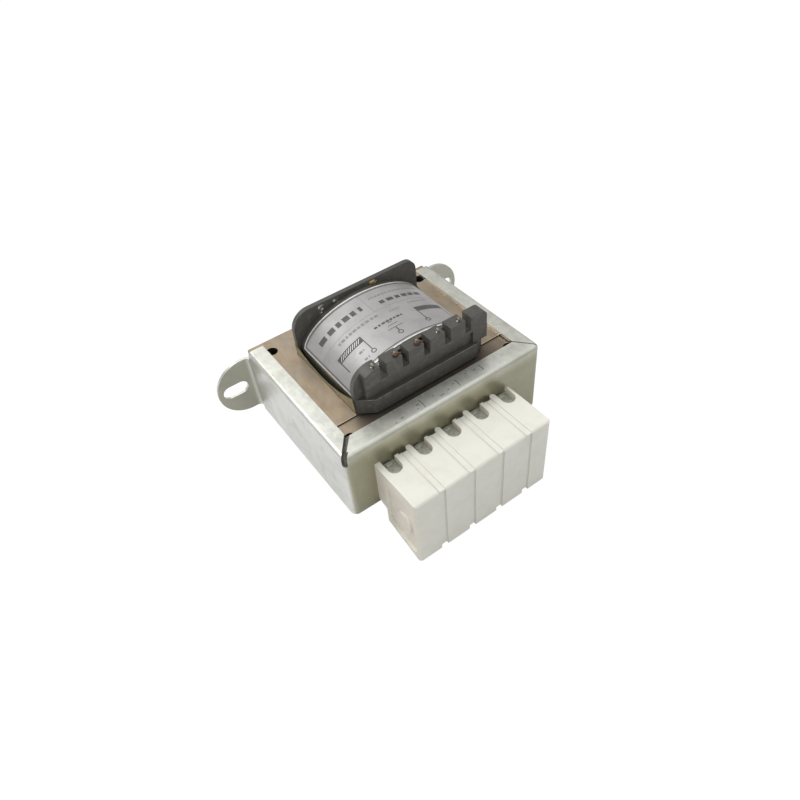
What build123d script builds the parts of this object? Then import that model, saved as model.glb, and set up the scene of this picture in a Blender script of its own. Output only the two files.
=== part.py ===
from build123d import *
import os
from math import hypot

# Open chassis transformer for lamps: laminated EI core in a folded channel frame, coil on a moulded
# bobbin, terminal block on the front web. The stack lies flat, so +Z is through the laminations,
# the terminal block faces -Y and the fixing ears are at +Y. Millimetres. While the pieces are made,
# X is zero on the middle plane, Y on the frame's front face and Z on the frame's lower face.

# How far a cut passes through a face, the tolerance for faces that touch, and the play of pressed-in pieces
OVER = 1.0
TOUCH = 0.01
PLAY = 0.1

# Core: the common 84 x 70 lamination, six legs wide and five deep
LEG = 14.0
CORE_WIDTH = 6 * LEG
CORE_DEPTH = 5 * LEG
CENTRE_LEG = 2 * LEG
STACK = 29.5
SHEET = 0.5
HOLE_D = 4.5
HOLE_INSET = 7.0
EDGE_GROOVE = 0.18
EDGE_GROOVES = 14

# Channel frame
WALL = 1.2
FRAME_WIDTH = CORE_WIDTH + 2 * WALL
FRAME_HEIGHT = STACK + 2 * WALL
FRAME_DEPTH = CORE_DEPTH + WALL
FRONT_LIP = 8.0
SIDE_LIP = 6.6
LIP_SHORTFALL = 3.0
LIP_END = FRAME_DEPTH - LIP_SHORTFALL
LIP_BEND_R = 1.7
CORNER_BEND_R = 2.6
TIGHT_MITRE = (0.5, 0.4)
OPEN_MITRE = (1.9, 1.3)
RELIEF_R = 1.0
RELIEF_LENGTH = 8.0
RELIEF_DEPTH = 4.6

# Fixing ears
EAR_REACH = 15.7
EAR_HEIGHT = 25.0
EAR_BEND_R = 1.7
SLOT_LENGTH = 10.6
SLOT_WIDTH = 5.8
SLOT_INSET = 7.4

# Bobbin
BOBBIN_FIT = 0.3
TUBE_WALL = 1.2
CHEEK = 2.0
CHEEK_PLAY = 0.25
CHEEK_GAP = 0.2
CHEEK_RISE = 18.3
FRONT_CORNER_R = (8.0, 2.4)
REAR_CORNER_R = (7.5, 4.5)
SHELF_RISE = 6.2
SHELF_REACH = 4.2
SHELF_CORNER = 6.0
RAIL_REACH = 3.0
RAIL_DROP = 6.8
RAIL_INSET = 3.6
RAIL_BACKING = 1.9
RAIL_SLOT = 2.6
SLOT_DROP = 5.6
END_POST = 6.4
TAG_TO_SLOT = 3.3
REAR_TAG_INSETS = (12.2, 18.7, 35.2)
REAR_TAG_WIDTH = 2.3
REAR_TAG_FOOT = 4.6
REAR_TAG_HEAD = 0.8

# Solder tags
TAGS = 5
TAG_PITCH = 9.0
FIRST_TAG_INSET = 7.65
TAG_SIZE = 0.9
TAG_LENGTH = 8.9
TAG_STANDS = 1.9
WRAPPED_TAGS = (1, 2)
WRAP_WIRE = 0.5
WRAP_TURNS = 3
WRAP_GAP = 0.08

# Coil: its play in the window, its rise over the stack and its bulge, then each layer's thickness
WINDOW_PLAY = 1.4
COIL_RISE = 16.8
COIL_STRAIGHT = 2.5
COIL_BULGE = 1.35
TAPE_BUILD = 0.6
SECONDARY_BUILD = 5.4
INSULATION_BUILD = 0.4
LABEL_SHEET = 0.15
LABEL_FRONT = 1.6
LABEL_BACK = 2.6
LABEL_ABOVE = 4.2
FILM = 0.2
FILM_BELOW = 3.0
FILM_INSET = 0.3
FILM_WAVE = ((0.0, 7.4), (0.3, 2.4), (0.7, 1.5), (1.0, 5.2))

# Terminal block
POLES = 5
POLE_PITCH = 12.6
FIRST_NOTCH_X = -27.4
BLOCK_LEFT = 4.9
BLOCK_RIGHT = 3.8
BLOCK_TOP = 21.6
BLOCK_FRONT = -23.1
BLOCK_FRONT_FOOT = -10.3
STEP_Z = 2.6
STEP_BACK = 4.5
STEP_CHAMFER = 1.2
REAR_FOOT = -6.0
NOTCH_WIDTH = 5.4
NOTCH_DEPTH = 7.9
NOTCH_DROP = 3.4
TAB = 0.8
PRONG_SHORT = 1.0
PRONG_GAP = 1.7
SHORT_PRONG = 1.5
LONG_PRONG = 2.3
STRIP_INSET = 2.1
STRIP_WIDTH = 2.8
STRIP_SINK = 0.25
STRIP_CUT = 1.5
END_RIM = 1.7
END_DROP = 2.8
END_LIFT = 1.5
END_BACK = -5.6
END_SINK = 1.3
END_PANEL_R = 3.0
END_BOSS_D = 8.0
END_BOSS_Y = -14.0
END_BOSS_Z = 3.5
EDGE_R = 1.3
CLAMP_WIDTH = 7.0
CLAMP_BACK = -6.0
CLAMP_FRONT = -19.5
CLAMP_TOP = 4.0
CLAMP_FOOT = -3.6
CLAMP_ROOF = 1.2
RISER_WIDTH = 2.4
RISER_BACK = 1.8
SCREW_Y = -15.8
WIRE_Y = -9.2
WIRE_D = 3.8
SCREW_D = 3.0
SCREW_HEAD_D = 5.2
SCREW_HEAD = 1.8
SCREW_LENGTH = 5.0
SCREW_ROOM = 0.5
DRIVE_SLOT = 0.8
DRIVE_DEPTH = 0.9
SCREW_WELL_D = 5.7
HOOK_WIDTH = 7.0
HOOK = 1.5
HOOK_RISE = 0.9
HOOK_PLAY = 0.15

# Places worked out from the sizes above
HALF_FRAME = FRAME_WIDTH / 2
HALF_CORE = CORE_WIDTH / 2
CORE_FRONT = WALL
CORE_BACK = WALL + CORE_DEPTH
JOINT_Y = CORE_FRONT + LEG
YOKE_Y = CORE_BACK - LEG
STACK_TOP = WALL + STACK
MID_Z = FRAME_HEIGHT / 2
CHEEK_TOP = STACK_TOP + CHEEK_RISE
CHEEK_FOOT = WALL - CHEEK_RISE
FRONT_CHEEK_Y = JOINT_Y + CHEEK_GAP
REAR_CHEEK_Y = YOKE_Y - CHEEK_GAP
COIL_FRONT = FRONT_CHEEK_Y + CHEEK
COIL_BACK = REAR_CHEEK_Y - CHEEK
HALF_CHEEK = HALF_CORE - LEG - CHEEK_PLAY
SHELF_TOP = STACK_TOP + SHELF_RISE
RAIL_FRONT = FRONT_CHEEK_Y - RAIL_REACH
RAIL_LEFT = RAIL_INSET - HALF_CHEEK
RAIL_FOOT = CHEEK_TOP - RAIL_DROP
TAG_Y = FRONT_CHEEK_Y - RAIL_REACH / 2
TAG_XS = [FIRST_TAG_INSET - HALF_CHEEK + TAG_PITCH * n for n in range(TAGS)]
RAIL_SLOT_XS = [x + TAG_TO_SLOT for x in TAG_XS]
REAR_TAG_XS = [inset - HALF_CHEEK for inset in REAR_TAG_INSETS]
HALF_COIL = HALF_CORE - LEG - WINDOW_PLAY
EAR_TIP = HALF_FRAME + EAR_REACH
SLOT_X = EAR_TIP - SLOT_INSET
BLOCK_X0 = FIRST_NOTCH_X - BLOCK_LEFT
BLOCK_X1 = FIRST_NOTCH_X + (POLES - 1) * POLE_PITCH + BLOCK_RIGHT
NOTCH_FLOOR = BLOCK_TOP - NOTCH_DROP
FOOT_SLOPE = (BLOCK_FRONT_FOOT - REAR_FOOT) / (BLOCK_FRONT + STEP_BACK)
NOTCH_XS = [FIRST_NOTCH_X + POLE_PITCH * n for n in range(POLES)]
MODEL_SHIFT = Pos(0, -(BLOCK_FRONT + FRAME_DEPTH) / 2, -CHEEK_FOOT)


def block(x0, x1, y0, y1, z0, z1):
    """Box between two corners."""
    return Pos((x0 + x1) / 2, (y0 + y1) / 2, (z0 + z1) / 2) * Box(x1 - x0, y1 - y0, z1 - z0)


def plan_box(x0, x1, y0, y1):
    """Rectangle between two corners of the plan."""
    return Pos((x0 + x1) / 2, (y0 + y1) / 2) * Rectangle(x1 - x0, y1 - y0)


def prism_z(points, z0, z1):
    """Prism of an (x, y) outline."""
    return Pos(0, 0, z0) * extrude(make_face(Polyline(*points, close=True)), z1 - z0)


def prism_x(points, x0, x1):
    """Prism of a (y, z) outline."""
    return extrude(Plane.YZ.offset(x0) * make_face(Polyline(*points, close=True)), x1 - x0)


def prism_y(face, y0, y1):
    """Prism of an (x, z) face."""
    return extrude(Plane.XZ.offset(-y1) * face, y1 - y0)


def peg(x, y, z0, z1, diameter):
    """Upright round bar."""
    return Pos(x, y, (z0 + z1) / 2) * Cylinder(diameter / 2, z1 - z0)


def mitre_cut(side, widths, z0, z1):
    """Wedge between the front lip and a side lip, from the lips' inner corner to the frame's corner."""
    inner_x, inner_y = side * (HALF_FRAME - SIDE_LIP), FRONT_LIP
    outer_x, outer_y = side * HALF_FRAME, 0.0
    run = hypot(outer_x - inner_x, outer_y - inner_y)
    along = ((outer_x - inner_x) / run, (outer_y - inner_y) / run)
    across = (-along[1], along[0])
    inner_x, inner_y = inner_x - OVER * along[0], inner_y - OVER * along[1]
    outer_x, outer_y = outer_x + OVER * along[0], outer_y + OVER * along[1]
    w_in, w_out = widths[0] / 2, widths[1] / 2
    outline = [
        (inner_x + across[0] * w_in, inner_y + across[1] * w_in),
        (outer_x + across[0] * w_out, outer_y + across[1] * w_out),
        (outer_x - across[0] * w_out, outer_y - across[1] * w_out),
        (inner_x - across[0] * w_in, inner_y - across[1] * w_in),
    ]
    return prism_z(outline, z0, z1)


def relief_cut(side, z0, z1):
    """Rounded notch that ends the mitre on the corner bend."""
    slot = Rotation(0, 0, side * 45) * Box(2 * RELIEF_R, RELIEF_LENGTH, z1 - z0)
    bar = Rotation(90, 0, 0) * Cylinder(RELIEF_R, RELIEF_LENGTH)
    ends = [Rotation(0, 0, side * 45) * Pos(0, 0, z) * bar for z in ((z0 - z1) / 2, (z1 - z0) / 2)]
    return Pos(side * HALF_FRAME, 0, (z0 + z1) / 2) * (slot + ends[0] + ends[1])


def ear(side):
    """One fixing ear, bent outwards from the end of its side wall."""
    reach = EAR_TIP - HALF_FRAME + WALL
    tip_r = EAR_HEIGHT / 2
    root = HALF_FRAME - WALL
    plate = Pos(side * (root + (reach - tip_r) / 2), MID_Z) * Rectangle(reach - tip_r, EAR_HEIGHT)
    plate += Pos(side * (EAR_TIP - tip_r), MID_Z) * Circle(tip_r)
    plate &= Pos(side * (root + reach / 2), MID_Z) * Rectangle(reach, EAR_HEIGHT)
    plate -= Pos(side * SLOT_X, MID_Z) * SlotOverall(SLOT_LENGTH, SLOT_WIDTH)
    return prism_y(plate, FRAME_DEPTH - WALL, FRAME_DEPTH)


def edges_at(shape, x, y):
    """Upright edges that stand at a point of the plan."""
    return [e for e in shape.edges().filter_by(Axis.Z)
            if abs(e.center().X - x) < TOUCH and abs(e.center().Y - y) < TOUCH]


def make_frame():
    """One folded sheet: front web, two side walls, lips above and below the stack, and the ears."""
    shell = block(-HALF_FRAME, HALF_FRAME, 0, FRAME_DEPTH, 0, FRAME_HEIGHT)
    shell = fillet(edges_at(shell, -HALF_FRAME, 0) + edges_at(shell, HALF_FRAME, 0), CORNER_BEND_R)
    rims = [e for e in shell.edges()
            if abs(abs(e.center().Z - MID_Z) - MID_Z) < TOUCH and e.center().Y < FRAME_DEPTH - TOUCH]
    shell = fillet(rims, LIP_BEND_R)
    shell -= block(-HALF_CORE, HALF_CORE, WALL, FRAME_DEPTH + OVER, WALL, STACK_TOP)
    inner_x = HALF_FRAME - SIDE_LIP
    shell -= block(-inner_x, inner_x, FRONT_LIP, FRAME_DEPTH + OVER, -OVER, FRAME_HEIGHT + OVER)
    low_end, high_end = MID_Z - EAR_HEIGHT / 2, MID_Z + EAR_HEIGHT / 2
    for z0, z1 in ((-OVER, low_end), (high_end, FRAME_HEIGHT + OVER)):
        shell -= block(-HALF_FRAME - OVER, HALF_FRAME + OVER, LIP_END, FRAME_DEPTH + OVER, z0, z1)
    for side, upper in ((-1, OPEN_MITRE), (1, TIGHT_MITRE)):
        shell -= mitre_cut(side, upper, STACK_TOP - TOUCH, FRAME_HEIGHT + OVER)
        shell -= mitre_cut(side, TIGHT_MITRE, -OVER, WALL + TOUCH)
    shell -= relief_cut(-1, FRAME_HEIGHT - RELIEF_DEPTH + RELIEF_R, FRAME_HEIGHT + 2 * OVER)
    for side in (-1, 1):
        shell += ear(side)
    ear_face = FRAME_DEPTH - WALL
    inside = edges_at(shell, -HALF_FRAME, ear_face) + edges_at(shell, HALF_FRAME, ear_face)
    shell = fillet(inside, EAR_BEND_R)
    outside = edges_at(shell, -HALF_CORE, FRAME_DEPTH) + edges_at(shell, HALF_CORE, FRAME_DEPTH)
    return fillet(outside, EAR_BEND_R + WALL)


def core_holes(y):
    """Clamping holes through one end of the stack."""
    x = HALF_CORE - HOLE_INSET
    return peg(-x, y, 0, FRAME_HEIGHT, HOLE_D) + peg(x, y, 0, FRAME_HEIGHT, HOLE_D)


def edge_grooves(y):
    """Shallow lines between groups of sheets on the back face of the stack at y."""
    cuts = []
    for n in range(1, EDGE_GROOVES + 1):
        z = WALL + STACK * n / (EDGE_GROOVES + 1)
        outline = [(y, z - EDGE_GROOVE), (y - EDGE_GROOVE, z), (y, z + EDGE_GROOVE)]
        cuts.append(prism_x(outline, -HALF_CORE - OVER, HALF_CORE + OVER))
    return cuts


def make_e_stack():
    """E sheets: centre leg, two outer legs and the back yoke, bonded with varnish."""
    stack = block(-HALF_CORE, HALF_CORE, JOINT_Y, CORE_BACK, WALL, STACK_TOP)
    for side in (-1, 1):
        near, far = sorted((side * CENTRE_LEG / 2, side * (HALF_CORE - LEG)))
        stack -= block(near, far, JOINT_Y - OVER, YOKE_Y, 0, FRAME_HEIGHT)
    stack -= core_holes(CORE_BACK - HOLE_INSET)
    return stack - edge_grooves(CORE_BACK)


def make_i_stack():
    """I sheets: the front yoke, one sheet lower than the E stack."""
    stack = block(-HALF_CORE, HALF_CORE, CORE_FRONT, JOINT_Y, WALL, STACK_TOP - SHEET)
    return stack - core_holes(CORE_FRONT + HOLE_INSET)


def cheek_face(corner_radii):
    """Outline of a cheek, its corners rounded by one radius on the left and another on the right."""
    face = Pos(0, (CHEEK_TOP + CHEEK_FOOT) / 2) * Rectangle(2 * HALF_CHEEK, CHEEK_TOP - CHEEK_FOOT)
    for side, radius in zip((-1, 1), corner_radii):
        face = fillet([v for v in face.vertices() if abs(v.X - side * HALF_CHEEK) < TOUCH], radius)
    return face


def make_bobbin():
    """Tube on the centre leg, two cheeks, and the slotted tag rail with its shelf on the front cheek."""
    tube_x = CENTRE_LEG / 2 + BOBBIN_FIT
    tube_z0, tube_z1 = WALL, STACK_TOP + BOBBIN_FIT
    body = block(-tube_x - TUBE_WALL, tube_x + TUBE_WALL, FRONT_CHEEK_Y, REAR_CHEEK_Y,
                 tube_z0 - TUBE_WALL, tube_z1 + TUBE_WALL)
    body += prism_y(cheek_face(FRONT_CORNER_R), FRONT_CHEEK_Y, COIL_FRONT)
    body += prism_y(cheek_face(REAR_CORNER_R), COIL_BACK, REAR_CHEEK_Y)
    shelf = [(-HALF_CHEEK, FRONT_CHEEK_Y), (SHELF_CORNER - HALF_CHEEK, FRONT_CHEEK_Y - SHELF_REACH),
             (HALF_CHEEK - SHELF_CORNER, FRONT_CHEEK_Y - SHELF_REACH), (HALF_CHEEK, FRONT_CHEEK_Y)]
    body += prism_z(shelf, STACK_TOP + PLAY, SHELF_TOP)
    rail = prism_y(cheek_face(FRONT_CORNER_R), RAIL_FRONT, FRONT_CHEEK_Y)
    body += rail & block(RAIL_LEFT, HALF_CHEEK, RAIL_FRONT, FRONT_CHEEK_Y, RAIL_FOOT, CHEEK_TOP)
    backing_y = FRONT_CHEEK_Y - RAIL_BACKING
    body += block(RAIL_LEFT, HALF_CHEEK, backing_y, FRONT_CHEEK_Y, SHELF_TOP, RAIL_FOOT)
    body += block(HALF_CHEEK - END_POST, HALF_CHEEK, RAIL_FRONT, FRONT_CHEEK_Y, SHELF_TOP, RAIL_FOOT)
    body -= block(-tube_x, tube_x, FRONT_CHEEK_Y - OVER, REAR_CHEEK_Y + OVER, tube_z0, tube_z1)
    for x in RAIL_SLOT_XS:
        x0, x1 = x - RAIL_SLOT / 2, x + RAIL_SLOT / 2
        body -= block(x0, x1, RAIL_FRONT - OVER, COIL_FRONT + OVER, CHEEK_TOP - SLOT_DROP, CHEEK_TOP + OVER)
    for x in TAG_XS:
        body -= make_tag(x)
    for x in REAR_TAG_XS:
        body -= make_rear_tag(x)
    return body


def make_tag(x):
    """Square tinned pin pressed into its post."""
    half = TAG_SIZE / 2
    z1 = CHEEK_TOP + TAG_STANDS
    return block(x - half, x + half, TAG_Y - half, TAG_Y + half, z1 - TAG_LENGTH, z1)


def make_rear_tag(x):
    """Flat tag let into the coil side of the rear cheek."""
    return block(x - REAR_TAG_WIDTH / 2, x + REAR_TAG_WIDTH / 2, COIL_BACK, COIL_BACK + CHEEK / 2,
                 CHEEK_TOP - REAR_TAG_FOOT, CHEEK_TOP - REAR_TAG_HEAD)


def make_wrap(x):
    """Turns of copper wire round a tag, where a winding ends."""
    inner = TAG_SIZE / 2 ** 0.5
    height = WRAP_TURNS * WRAP_WIRE + (WRAP_TURNS - 1) * WRAP_GAP
    turns = peg(x, TAG_Y, CHEEK_TOP, CHEEK_TOP + height, 2 * inner + WRAP_WIRE)
    for n in range(WRAP_TURNS):
        z = CHEEK_TOP + n * (WRAP_WIRE + WRAP_GAP)
        turns += peg(x, TAG_Y, z, z + WRAP_WIRE, 2 * inner + 2 * WRAP_WIRE)
    return turns - make_tag(x)


def coil_section(depth):
    """Coil outline at a depth under its outer face: flat beside the stack and arched above and below it."""
    half_width = HALF_COIL - depth
    straight = STACK / 2 + COIL_STRAIGHT
    arch = STACK / 2 + COIL_RISE - COIL_BULGE * depth - straight
    upper = Pos(0, MID_Z + straight) * Ellipse(half_width, arch)
    lower = Pos(0, MID_Z - straight) * Ellipse(half_width, arch)
    return upper + lower + Pos(0, MID_Z) * Rectangle(2 * half_width, 2 * straight)


def make_layer(outer, inner, y0, y1):
    """Ring of one winding or wrap between two outlines."""
    return prism_y(outer - inner, y0, y1)


def tube_section():
    """Outline of the bobbin's tube."""
    width = CENTRE_LEG + 2 * BOBBIN_FIT + 2 * TUBE_WALL
    z0, z1 = WALL - TUBE_WALL, STACK_TOP + BOBBIN_FIT + TUBE_WALL
    return Pos(0, (z0 + z1) / 2) * Rectangle(width, z1 - z0)


def make_label():
    """Rating plate of foil on the coil's arch, bare of any words."""
    face = coil_section(-LABEL_SHEET) - coil_section(0)
    face &= plan_box(-HALF_CHEEK, HALF_CHEEK, STACK_TOP + LABEL_ABOVE, CHEEK_TOP)
    return prism_y(face, COIL_FRONT + LABEL_FRONT, COIL_BACK - LABEL_BACK)


def make_film(side):
    """Strip of insulating film between the coil and an outer leg, waved along its upper edge."""
    x0, x1 = sorted((side * (HALF_CORE - LEG), side * (HALF_CORE - LEG - FILM)))
    y0, y1 = FRONT_CHEEK_Y + FILM_INSET, REAR_CHEEK_Y - FILM_INSET
    wave = [(y0 + (y1 - y0) * share, STACK_TOP + rise) for share, rise in FILM_WAVE]
    low_front, low_back = (y0, WALL - FILM_BELOW), (y1, WALL - FILM_BELOW)
    outline = Line(low_front, low_back) + Line(low_back, wave[-1]) + Spline(*wave) + Line(wave[0], low_front)
    return extrude(Plane.YZ.offset(x0) * make_face(outline), x1 - x0)


def foot_z(y):
    """Height of the block's sloping underside at y."""
    return REAR_FOOT + FOOT_SLOPE * (y + STEP_BACK)


def notch(x):
    """Round-ended wire notch of a pole, open towards the frame."""
    r = NOTCH_WIDTH / 2
    shape = plan_box(x - r, x + r, r - NOTCH_DEPTH, OVER) + Pos(x, r - NOTCH_DEPTH) * Circle(r)
    return Pos(0, 0, NOTCH_FLOOR) * extrude(shape, BLOCK_TOP - NOTCH_FLOOR + OVER)


def land_trim(x):
    """Cut that leaves the short prong and the round-ended long prong on the land right of a notch."""
    x0 = x + NOTCH_WIDTH / 2
    x1 = x + POLE_PITCH - NOTCH_WIDTH / 2
    r = LONG_PRONG / 2
    plan = plan_box(x0 - TOUCH, x1 + TOUCH, -PRONG_GAP, OVER)
    plan -= plan_box(x0, x0 + SHORT_PRONG, -PRONG_GAP - OVER, -PRONG_SHORT)
    plan -= plan_box(x1 - LONG_PRONG, x1, -PRONG_GAP - OVER, -r)
    plan -= Pos(x1 - r, -r) * Circle(r)
    return Pos(0, 0, NOTCH_FLOOR) * extrude(plan, BLOCK_TOP - NOTCH_FLOOR + OVER)


def pole_strip(x):
    """Sunk strip between two poles, over the top, down the front and across the foot."""
    x0 = x + NOTCH_WIDTH / 2 + STRIP_INSET
    x1 = x0 + STRIP_WIDTH
    front, back, below = BLOCK_FRONT - OVER, OVER - STEP_BACK, BLOCK_FRONT_FOOT - OVER
    strip = block(x0, x1, front, OVER, BLOCK_TOP - STRIP_SINK, BLOCK_TOP + OVER)
    strip += block(x0, x1, front, BLOCK_FRONT + STRIP_SINK, below, BLOCK_TOP + OVER)
    foot = [(front, foot_z(front) + STRIP_CUT), (back, foot_z(back) + STRIP_CUT / 2), (back, below),
            (front, below)]
    return strip + prism_x(foot, x0, x1)


def end_panel():
    """Sunk panel with a round boss in the left end, behind its front rim."""
    front = BLOCK_FRONT + END_RIM
    outline = [(front, BLOCK_TOP - END_DROP), (END_BACK, BLOCK_TOP - 2 * END_DROP),
               (END_BACK, foot_z(END_BACK) + END_LIFT), (front, foot_z(front) + END_LIFT)]
    panel = prism_x(outline, BLOCK_X0 - OVER, BLOCK_X0 + END_SINK)
    panel = fillet(panel.edges().filter_by(Axis.X), END_PANEL_R)
    boss = Pos(BLOCK_X0 + END_SINK, END_BOSS_Y, END_BOSS_Z) * Rotation(0, 90, 0) * Cylinder(
        END_BOSS_D / 2, END_SINK)
    return panel - boss


def pole_hollow(x):
    """Room for a terminal: slot for the riser, chamber, screw well and wire entry from below."""
    half = (CLAMP_WIDTH + PLAY) / 2
    hollow = block(x - half, x + half, CLAMP_FRONT - PLAY, CLAMP_BACK, CLAMP_FOOT, CLAMP_TOP)
    hollow += riser(x)
    for y, diameter in ((SCREW_Y, SCREW_WELL_D), (WIRE_Y, WIRE_D)):
        hollow += peg(x, y, BLOCK_FRONT_FOOT - OVER, CLAMP_FOOT, diameter)
    return hollow


def riser(x):
    """Strip that joins a terminal's tab to its clamp."""
    y0 = NOTCH_WIDTH / 2 - NOTCH_DEPTH - RISER_BACK
    half = RISER_WIDTH / 2
    return block(x - half, x + half, y0, y0 + TAB, CLAMP_TOP - TOUCH, NOTCH_FLOOR + TOUCH)


def make_terminal(x):
    """Tinned terminal: tab on the notch floor, riser, and drilled clamp block."""
    r = NOTCH_WIDTH / 2 - PLAY
    centre_y = NOTCH_WIDTH / 2 - NOTCH_DEPTH
    tab = plan_box(x - r, x + r, centre_y, -PLAY) + Pos(x, centre_y) * Circle(r)
    piece = Pos(0, 0, NOTCH_FLOOR) * extrude(tab, TAB)
    piece += riser(x)
    half = CLAMP_WIDTH / 2
    piece += block(x - half, x + half, CLAMP_FRONT, CLAMP_BACK, CLAMP_FOOT, CLAMP_TOP)
    piece -= peg(x, WIRE_Y, CLAMP_FOOT - OVER, CLAMP_TOP - CLAMP_ROOF, WIRE_D)
    return piece - peg(x, SCREW_Y, CLAMP_FOOT - OVER, CLAMP_FOOT + SCREW_LENGTH + SCREW_ROOM, SCREW_D)


def make_screw(x):
    """Slotted screw of one clamp, its head in the well."""
    head = peg(x, SCREW_Y, CLAMP_FOOT - SCREW_HEAD, CLAMP_FOOT, SCREW_HEAD_D)
    slot = block(x - SCREW_HEAD_D, x + SCREW_HEAD_D, SCREW_Y - DRIVE_SLOT / 2, SCREW_Y + DRIVE_SLOT / 2,
                 CLAMP_FOOT - SCREW_HEAD - OVER, CLAMP_FOOT - SCREW_HEAD + DRIVE_DEPTH)
    return head - slot + peg(x, SCREW_Y, CLAMP_FOOT, CLAMP_FOOT + SCREW_LENGTH, SCREW_D)


def hook(x):
    """Foot of the block that runs under the frame's lower lip and catches its inner edge."""
    top = -HOOK_PLAY
    end = FRONT_LIP + HOOK_PLAY
    start = -STEP_BACK - OVER
    outline = [(start, top - HOOK), (end + HOOK, top - HOOK), (end + HOOK, HOOK_RISE), (end, HOOK_RISE),
               (end, top), (start, top)]
    return prism_x(outline, x - HOOK_WIDTH / 2, x + HOOK_WIDTH / 2)


def make_block():
    """Moulded five-pole body that stands against the front web."""
    profile = [(0, BLOCK_TOP), (0, STEP_Z), (-STEP_BACK, STEP_Z - STEP_CHAMFER), (-STEP_BACK, REAR_FOOT),
               (BLOCK_FRONT, BLOCK_FRONT_FOOT), (BLOCK_FRONT, BLOCK_TOP)]
    body = prism_x(profile, BLOCK_X0, BLOCK_X1)
    soft = [e for e in body.edges()
            if e.center().Y < BLOCK_FRONT + TOUCH and e.center().Z > BLOCK_FRONT_FOOT + TOUCH]
    body = fillet(soft, EDGE_R)
    for x in NOTCH_XS:
        body -= notch(x)
        body -= pole_hollow(x)
    for x in NOTCH_XS[:-1]:
        body -= land_trim(x)
        body -= pole_strip(x)
    body -= block(NOTCH_XS[-1] + NOTCH_WIDTH / 2, BLOCK_X1 + OVER, -PRONG_SHORT, OVER,
                  NOTCH_FLOOR, BLOCK_TOP + OVER)
    body -= end_panel()
    for x in NOTCH_XS[1::2]:
        body += hook(x)
    return body


def main():
    """Make every piece and write one file for each."""
    tape = coil_section(0)
    secondary = coil_section(TAPE_BUILD)
    insulation = coil_section(TAPE_BUILD + SECONDARY_BUILD)
    primary = coil_section(TAPE_BUILD + SECONDARY_BUILD + INSULATION_BUILD)
    pieces = {
        "clamp_frame": make_frame(),
        "e_laminations": make_e_stack(),
        "i_laminations": make_i_stack(),
        "bobbin": make_bobbin(),
        "primary_winding": make_layer(primary, tube_section(), COIL_FRONT, COIL_BACK),
        "interwinding_insulation": make_layer(insulation, primary, COIL_FRONT, COIL_BACK),
        "secondary_winding": make_layer(secondary, insulation, COIL_FRONT, COIL_BACK),
        "outer_tape_wrap": make_layer(tape, secondary, COIL_FRONT, COIL_BACK),
        "rating_label": make_label(),
        "window_film_left": make_film(-1),
        "window_film_right": make_film(1),
        "terminal_block_body": make_block(),
    }
    for n, x in enumerate(TAG_XS, 1):
        pieces[f"solder_tag_{n}"] = make_tag(x)
    for n, x in enumerate(REAR_TAG_XS, 1):
        pieces[f"rear_tag_{n}"] = make_rear_tag(x)
    for n, tag in enumerate(WRAPPED_TAGS, 1):
        pieces[f"winding_end_{n}"] = make_wrap(TAG_XS[tag])
    for n, x in enumerate(NOTCH_XS, 1):
        pieces[f"terminal_{n}"] = make_terminal(x)
        pieces[f"terminal_screw_{n}"] = make_screw(x)
    os.makedirs("parts", exist_ok=True)
    for name, piece in pieces.items():
        export_step(MODEL_SHIFT * piece, f"parts/{name}.step")


main()
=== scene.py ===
"""Looks of an open lamp transformer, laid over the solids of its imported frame."""

import logging
import math
from dataclasses import dataclass, field
from enum import Enum
from typing import Optional, Sequence, Union

import bmesh
import bpy
import numpy as np
from mathutils import Matrix, Vector

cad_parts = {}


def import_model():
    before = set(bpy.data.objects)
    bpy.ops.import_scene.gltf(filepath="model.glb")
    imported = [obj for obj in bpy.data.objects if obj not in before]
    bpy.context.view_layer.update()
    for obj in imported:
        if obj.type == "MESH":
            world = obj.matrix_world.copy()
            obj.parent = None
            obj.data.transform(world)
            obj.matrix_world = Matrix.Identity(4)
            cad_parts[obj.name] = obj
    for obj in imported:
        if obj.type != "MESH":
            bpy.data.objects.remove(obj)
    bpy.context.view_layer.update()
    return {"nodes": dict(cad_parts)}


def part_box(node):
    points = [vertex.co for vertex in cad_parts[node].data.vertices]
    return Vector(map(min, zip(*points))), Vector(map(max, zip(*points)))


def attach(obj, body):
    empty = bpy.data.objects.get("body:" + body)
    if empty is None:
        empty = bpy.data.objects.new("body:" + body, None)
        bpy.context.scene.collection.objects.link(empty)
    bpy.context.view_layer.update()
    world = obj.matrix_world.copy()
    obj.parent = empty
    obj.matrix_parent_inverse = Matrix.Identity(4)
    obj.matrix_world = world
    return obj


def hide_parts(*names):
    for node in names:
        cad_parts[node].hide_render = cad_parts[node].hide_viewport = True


LOG = logging.getLogger("transformer")
MM = 0.001
IMAGE_PIXELS = 800
SENSOR_MM = 36.0
BODY = "root"
SHARP_EDGE = math.radians(32)
FLAT_FACE = math.radians(0.5)
EDGE_STEPS = 2
SOLID_WELD_M = 1e-6
SURFACE_WELD_M = 1e-7
DROP_POINTS = 7
DROP_SINK_MM = 0.02

Socket = Union[bpy.types.NodeSocket, float, tuple]


def paint(red: int, green: int, blue: int) -> tuple[float, float, float, float]:
    """Linear colour of an sRGB colour from 0 to 255.

    Args:
        red: Red of the sRGB colour.
        green: Green of the sRGB colour.
        blue: Blue of the sRGB colour.

    Returns:
        Linear red, green and blue with an alpha of one.
    """
    srgb = np.array([red, green, blue]) / 255.0
    linear = np.where(srgb <= 0.04045, srgb / 12.92, ((srgb + 0.055) / 1.055) ** 2.4)
    return (float(linear[0]), float(linear[1]), float(linear[2]), 1.0)


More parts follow.
